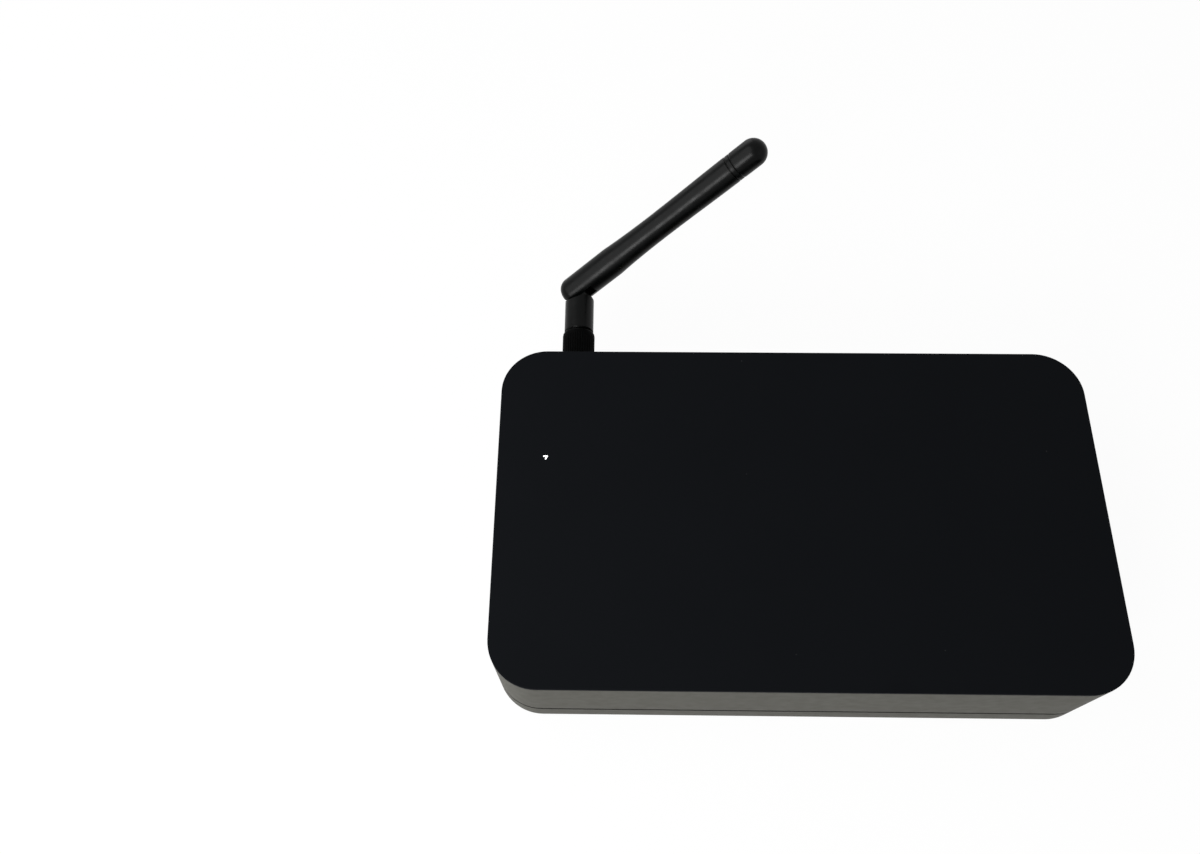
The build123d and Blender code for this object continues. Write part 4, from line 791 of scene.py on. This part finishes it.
# Optical sockets and their shutters
OPTICAL_BODY = rectangle(9.8, 10, 0.35)
OPTICAL_MOUTH = mirrored([(-3.45, 3.3, 0.3), (-3.45, -1.9, 0.3), (-2.05, -3.3, 0.3)])
OPTICAL_CAVITY = rectangle(7.8, 7.6, 0.3)
LAMP_RADIUS, LAMP_BORE, LAMP_EDGE = 1.5, 1.1, 0.1
MOUTH_LIP, CAVITY_END, LAMP_FRONT, OPTICAL_DEPTH = -2.8, -12.6, -10.8, 13.8
SHUTTER_WIDTH, SHUTTER_HEIGHT, SHUTTER_THICKNESS, SHUTTER_DROP = 7.4, 6.7, 0.7, 0.25
SHUTTER_FRONT = SHUTTER_THICKNESS / 2
SUNK_MARGIN = 1.6  # how much smaller the flap's sunk face is
SUNK_STATIONS = [(SHUTTER_FRONT, -0.1), (SHUTTER_FRONT - 0.03, -0.02), (SHUTTER_FRONT - 0.12, 0)]
RIB_SIZE, RIB_CENTRE = (2.6, 0.5, 0.24), (0, -2.0, SHUTTER_FRONT - 0.06)
TRUNNION_RADIUS, TRUNNION_HALF = 0.5, 4.6
body, mouth, cavity, lamp, bore = matched(
    OPTICAL_BODY, OPTICAL_MOUTH, OPTICAL_CAVITY, circle(LAMP_RADIUS), circle(LAMP_BORE))
plate = rectangle(SHUTTER_WIDTH, SHUTTER_HEIGHT, 0.3, 0, -SHUTTER_DROP)
sunk = rectangle(SHUTTER_WIDTH - SUNK_MARGIN, SHUTTER_HEIGHT - SUNK_MARGIN, 0.3, 0, -SHUTTER_DROP)
shaft = curved([
    (-TRUNNION_HALF, 0, 0), (-TRUNNION_HALF, TRUNNION_RADIUS, 0.1),
    (TRUNNION_HALF, TRUNNION_RADIUS, 0.1), (TRUNNION_HALF, 0, 0)])
for number in (1, 2, 3):
    name = f"optical_socket_{number}"
    centre = middle(name)
    place = socket(centre.x, centre.z)
    loops = layers(place, body, soft(-OPTICAL_DEPTH, 0, 0.25))
    loops += layers(place, mouth, hole(0, MOUTH_LIP, 0.15))
    loops += layers(place, cavity, [(MOUTH_LIP, 0), (CAVITY_END, 0)])
    loops += layers(place, lamp, [
        (CAVITY_END, 0), (LAMP_FRONT - LAMP_EDGE, 0), (LAMP_FRONT, LAMP_EDGE)])
    loops += layers(place, bore, [
        (LAMP_FRONT, -LAMP_EDGE), (LAMP_FRONT - LAMP_EDGE, 0), (CAVITY_END, 0)])
    piece(f"{name}_moulded", [(loops, False)], [name])
    name = f"optical_shutter_{number}"
    hinge = Vector(joints[f"shutter_{number}_open"]["pos_m"])
    place = socket(centre.x, centre.z, hinge.y)
    flap = layers(place, plate, soft(-SHUTTER_FRONT, SHUTTER_FRONT, 0.08))
    flap += layers(place, sunk, SUNK_STATIONS)
    piece(f"{name}_flap", [
        (flap, False),
        (turned(axes(hinge, (1, 0, 0), (0, 0, 1)), shaft, SHAFT_SIDES), False),
        bar(place, RIB_SIZE, RIB_CENTRE, 0.1)], [name])

# HDMI and USB sockets
SHELL = 0.35
RIM = 0.1
TONGUE_RECESS = -1.6
CORE_DEPTH = 3.0
SPRING_WIDTH, SPRING_THICK = 1.7, 0.22
HDMI_DEPTH, HDMI_LIFT, HDMI_HALF = 11.5, 3.15, 7.5
HDMI_TONGUE_WIDTH, HDMI_TONGUE_THICK, HDMI_TONGUE_V = 10.8, 1.5, 0.45
HDMI_CONTACT, HDMI_CONTACT_MIDDLE = (0.32, 0.1, 6.4), -5.2
USB_DEPTH, USB_LIFT, USB_WIDTH = 14.0, 3.25, 13.1
USB_TONGUE_WIDTH, USB_TONGUE_THICK, USB_TONGUE_V = 11.1, 1.84, 0.68
USB_CONTACT, USB_CONTACT_MIDDLE = (1.0, 0.12, 8.0), -6.2
HDMI_OUTER = mirrored([(-HDMI_HALF, 2.75, 0.5), (-HDMI_HALF, -0.51, 0.5), (-5.9, -2.75, 0.5)])
USB_OUTER = rectangle(USB_WIDTH, 5.7, 0.55)
HDMI = socket(middle("hdmi_shell").x, BOARD_TOP + HDMI_LIFT * MM)
USB = socket(middle("usb_shell").x, BOARD_TOP + USB_LIFT * MM)


def folded_shell(place, outer, depth):
    """Thin metal shell open at both ends, its rims rounded."""
    inner = shrunk(outer, SHELL)
    inside = [(level, -inset) for level, inset in soft(0, -depth, RIM)]
    return layers(place, outer, soft(-depth, 0, RIM)) + layers(place, inner, inside), True


def legs(place, places, length, foot):
    """Upright tabs from a foot below the socket's middle up to the middle."""
    return [bar(place, (SHELL, -foot, length), (u, foot / 2, level), 0.06)
            for u, level in places]


def springs(place, u_places, v, length, level):
    """Leaf springs that grip the plug."""
    return [bar(place, (SPRING_WIDTH, SPRING_THICK, length), (u, v, level), 0.1)
            for u in u_places]


def tongued(place, outer, depth, width, thick, v, edge):
    """Plastic core that closes the shell's back, with the tongue that carries the contacts."""
    core = layers(place, shrunk(outer, SHELL), soft(-depth, CORE_DEPTH - depth, 0.08))
    length = depth + TONGUE_RECESS
    centre = (0, v, TONGUE_RECESS - length / 2)
    return [(core, False), bar(place, (width, thick, length), centre, edge)]


hdmi_legs = [(side * (HDMI_HALF - SHELL / 2), level) for side in (-1, 1) for level in (-4.6, -9.5)]
piece("hdmi_shell_folded", [folded_shell(HDMI, HDMI_OUTER, HDMI_DEPTH)]
      + legs(HDMI, hdmi_legs, 1.6, -4.75)
      + springs(HDMI, (-3.6, 3.6), 2.35, 6, -4.2)
      + springs(HDMI, (-2.6, 2.6), -2.35, 6, -4.2), ["hdmi_shell"])
piece("hdmi_tongue", tongued(HDMI, HDMI_OUTER, HDMI_DEPTH, HDMI_TONGUE_WIDTH,
                             HDMI_TONGUE_THICK, HDMI_TONGUE_V, 0.2), ["hdmi_insulator"])
contacts = []
for count, side in ((10, 1), (9, -1)):
    v = HDMI_TONGUE_V + side * HDMI_TONGUE_THICK / 2
    contacts += [bar(HDMI, HDMI_CONTACT, (k - (count - 1) / 2, v, HDMI_CONTACT_MIDDLE), 0.03)
                 for k in range(count)]
piece("hdmi_contacts", contacts, slot="contact_gold")

usb_legs = [(side * (USB_WIDTH / 2 - SHELL / 2), -6.6) for side in (-1, 1)]
piece("usb_shell_folded", [folded_shell(USB, USB_OUTER, USB_DEPTH)]
      + legs(USB, usb_legs, 2.4, -4.85)
      + springs(USB, (-3.2, 3.2), 2.45, 7, -5.0)
      + springs(USB, (-3.2, 3.2), -2.45, 7, -5.0), ["usb_shell"])
piece("usb_tongue", tongued(USB, USB_OUTER, USB_DEPTH, USB_TONGUE_WIDTH,
                            USB_TONGUE_THICK, USB_TONGUE_V, 0.25), ["usb_insulator"])
v = USB_TONGUE_V - USB_TONGUE_THICK / 2
piece("usb_contacts", [bar(USB, USB_CONTACT, (u, v, USB_CONTACT_MIDDLE), 0.04)
                       for u in (-3.5, -1, 1, 3.5)], slot="contact_gold")

# Phono sockets: barrels with rolled lips, coloured inserts with a sunk ring, bored contacts
PHONO_ROOT, PHONO_END, BARREL, BARREL_BORE = -6.6, 9.0, 4.15, 3.7
CONTACT, CONTACT_BORE, CONTACT_DEPTH = 2.1, 1.6, 12
FACE = PHONO_END - 0.5
SUNK_FACE = FACE - 0.45
RAISED_FACE = FACE - 0.1
phono_z = middle("phono_insert_left").z
phono_places = {side: socket(middle(f"phono_insert_{side}").x, phono_z)
                for side in ("left", "right", "coax")}
barrel_profile = curved([
    (PHONO_ROOT, BARREL_BORE, 0), (PHONO_END, BARREL_BORE, 0.12),
    (PHONO_END, BARREL - 0.1, 0.15), (PHONO_END - 0.7, BARREL, 0.3), (PHONO_ROOT, BARREL, 0)])
insert_profile = curved([
    (PHONO_ROOT, CONTACT, 0), (FACE, CONTACT, 0.1), (FACE, 2.55, 0.12),
    (SUNK_FACE, 2.7, 0.15), (SUNK_FACE, 3.3, 0.15), (RAISED_FACE, 3.45, 0.1),
    (RAISED_FACE, BARREL_BORE, 0), (PHONO_ROOT, BARREL_BORE, 0)])
contact_profile = curved([
    (PHONO_ROOT, 0, 0), (PHONO_ROOT, CONTACT, 0), (FACE, CONTACT, 0.1),
    (FACE, CONTACT_BORE, 0.25), (FACE - CONTACT_DEPTH, CONTACT_BORE, 0),
    (FACE - CONTACT_DEPTH, 0, 0)])
piece("phono_barrels_rolled", [
    (turned(place, barrel_profile), True) for place in phono_places.values()],
    ["phono_barrels"])
piece("phono_contacts_turned", [
    (turned(place, contact_profile, SMALL_SIDES), False) for place in phono_places.values()],
    ["phono_contacts"])
for side, place in phono_places.items():
    piece(f"phono_insert_{side}_stepped", [(turned(place, insert_profile), True)],
          [f"phono_insert_{side}"])

# Small jack and power inlet
aux = middle("aux_jack_bush")
bush_profile = curved([(-4.6, 1.8, 0), (0, 1.8, 0.3), (0, 2.9, 0.2), (-4.6, 2.9, 0)])
piece("aux_bush_round", [(turned(socket(aux.x, aux.z), bush_profile), True)],
      ["aux_jack_bush"])
INLET_DEPTH, INLET_FLOOR, PIN_SEAT, INLET_PIN_RADIUS = 14.4, -9.5, -11.5, 1.05
inlet = middle("dc_jack_pin")
inlet_place = socket(inlet.x, inlet.z)
body, bore, seat = matched(
    rectangle(9.4, 11, 0.5, 0, -0.9), circle(3.1), circle(INLET_PIN_RADIUS))
loops = layers(inlet_place, body, soft(-INLET_DEPTH, 0, 0.3))
loops += layers(inlet_place, bore, hole(0, INLET_FLOOR, 0.35))
loops += layers(inlet_place, seat, [(INLET_FLOOR, 0), (PIN_SEAT, 0)])
inlet_pin = curved([
    (PIN_SEAT, 0, 0), (PIN_SEAT, INLET_PIN_RADIUS, 0), (-0.8, INLET_PIN_RADIUS, 0.5),
    (-0.8, 0, 0)])
piece("dc_inlet_moulded", [(loops, False)], ["dc_jack_body"])
piece("dc_pin_round", [(turned(inlet_place, inlet_pin, PIN_SIDES), False)], ["dc_jack_pin"])

# Screws
CROSS = cross(1.2, 0.27)
HEXAGON = circle(1.1, 6)
HEAD_SIDE_SHARE = 0.45
DOME_INSET_SHARE = 0.42
HEAD_STEPS = 4
SCREWS = {  # new name, recess and its depth, shank radius and length, head radius and height
    "jack_screws": ("jack_screws_cross", CROSS, 0.7, 1.2, 8.45, 2.2, 1.3),
    "housing_screws": ("housing_screws_hex", HEXAGON, 0.9, 1.3, 14.5, 2.4, 1.7),
    "board_screws": ("board_screws_hex", HEXAGON, 0.9, 1.3, 4.5, 2.5, 1.6),
}


def screw(place, recess, recess_depth, shank_radius, shank_length, head_radius, head_height):
    """Pan-headed screw; its head's underside is at the frame's origin, its top along Z."""
    shank, head, drive = matched(circle(shank_radius), circle(head_radius), recess)
    side = head_height * HEAD_SIDE_SHARE
    turns = [pi / 2 * k / HEAD_STEPS for k in range(HEAD_STEPS + 1)]
    dome = [(side + (head_height - side) * sin(turn),
             DOME_INSET_SHARE * head_radius * (1 - cos(turn))) for turn in turns]
    loops = layers(place, shank, [(-shank_length, 0.35), (0.4 - shank_length, 0), (0, 0)])
    loops += layers(place, head, [(0, 0.08), (0.08, 0)] + dome)
    loops += layers(place, drive, [(head_height, 0), (head_height - recess_depth, 0.08)])
    return loops, False


for name, (new_name, *sizes) in SCREWS.items():
    head_height = sizes[-1] * MM
    shells = []
    for low, high in solids(name):
        centre = (low + high) / 2
        if name == "jack_screws":
            place = socket(centre.x, centre.z)
        elif name == "housing_screws":
            place = axes((centre.x, centre.y, low.z + head_height), (0, 0, -1), (1, 0, 0))
        else:
            place = standing(centre.x, centre.y, high.z - head_height)
        shells.append(screw(place, *sizes))
    piece(new_name, shells, [name])

# Parts on the boards
LEADS_A_SIDE, LEAD_PITCH, LEAD_WIDTH, LEAD_EDGE = 8, 0.75, 0.32, 0.03
LEAD_BENDS = (  # shoulder, drop and foot: length out, height, middle's distance out and level
    (0.5, 0.12, 0.2, 0.5), (0.12, 0.5, 0.42, 0.3), (0.5, 0.12, 0.625, 0.06))
CHIP_LIFT = 0.1
chips, leads = [], []
for low, high in solids("board_chips"):
    size = (high - low) / MM
    place = standing((low.x + high.x) / 2, (low.y + high.y) / 2, low.z)
    chips.append(bar(place, (size.x, size.y, size.z - CHIP_LIFT),
                     (0, 0, (size.z + CHIP_LIFT) / 2), 0.15))
    for quarter in range(4):
        side = place @ Matrix.Rotation(quarter * pi / 2, 4, "Z")
        for k in range(LEADS_A_SIDE):
            u = (k - (LEADS_A_SIDE - 1) / 2) * LEAD_PITCH
            for length, height, out, level in LEAD_BENDS:
                leads.append(bar(side, (LEAD_WIDTH, length, height),
                                 (u, size.x / 2 + out, level), LEAD_EDGE))
piece("chip_bodies", chips, ["board_chips"])
piece("chip_leads", leads, slot="shield_tin")

cans = []
for low, high in solids("board_capacitors"):
    radius = (high.x - low.x) / 2 / MM
    height = (high.z - low.z) / MM
    profile = curved([
        (0, 0, 0), (0, radius - 0.1, 0.1), (0.9, radius, 0.1), (1.2, radius - 0.3, 0.15),
        (1.5, radius, 0.1), (height, radius, 0.5), (height, radius * 0.8, 0.05),
        (height - 0.1, radius * 0.76, 0.05), (height - 0.1, 0, 0)])
    place = standing((low.x + high.x) / 2, (low.y + high.y) / 2, low.z)
    cans.append((turned(place, profile, SMALL_SIDES), False))
piece("capacitor_cans", cans, ["board_capacitors"])

PIN_PITCH, PIN_WIDTH, PIN_OVER = 2.0, 0.5, 3.6
pins = []
for low, high in solids("board_headers"):
    centre = (low + high) / 2
    size = (high - low) / MM
    place = standing(centre.x, centre.y, low.z)
    count = int(max(size.x, size.y) / PIN_PITCH)
    for k in range(count):
        shift = (k + 0.5 - count / 2) * PIN_PITCH
        u, v = (shift, 0) if size.x > size.y else (0, shift)
        pins.append(bar(place, (PIN_WIDTH, PIN_WIDTH, size.z + PIN_OVER), (u, v, size.z / 2), 0.1))
piece("header_pins", pins, slot="contact_gold")

# Carried-over nodes with their sharp edges rounded, each by its own radius in millimetres
EDGE_RADII = {
    "top_cover": 0.1, "upper_housing": 0.12, "lower_housing": 0.12, "rear_panel": 0.12,
    "main_board": 0.1, "status_led": 0.1, "line_jack_body": 0.25, "coax_jack_body": 0.25,
    "aux_jack_body": 0.25, "radio_board": 0.08, "radio_shield": 0.08,
    "transmitter_board": 0.08, "transmitter_shield": 0.08, "board_headers": 0.12,
    "processor": 0.12, "thermal_pad": 0.12, "heat_sink": 0.15, "board_inductors": 0.3,
    "antenna_plug_core": 0.08, "antenna_plug_insulator": 0.06, "bulkhead_insulator": 0.06,
    "swivel_base": 0.1, "antenna_arm": 0.15, "lead_plug": 0.12, "antenna_radiator": 0.05,
}
for name, edge in EDGE_RADII.items():
    soften(name, edge)
for name, obj in nodes.items():
    obj.data.materials.clear()
    obj.data.materials.append(FINISH[slot_of[name]])
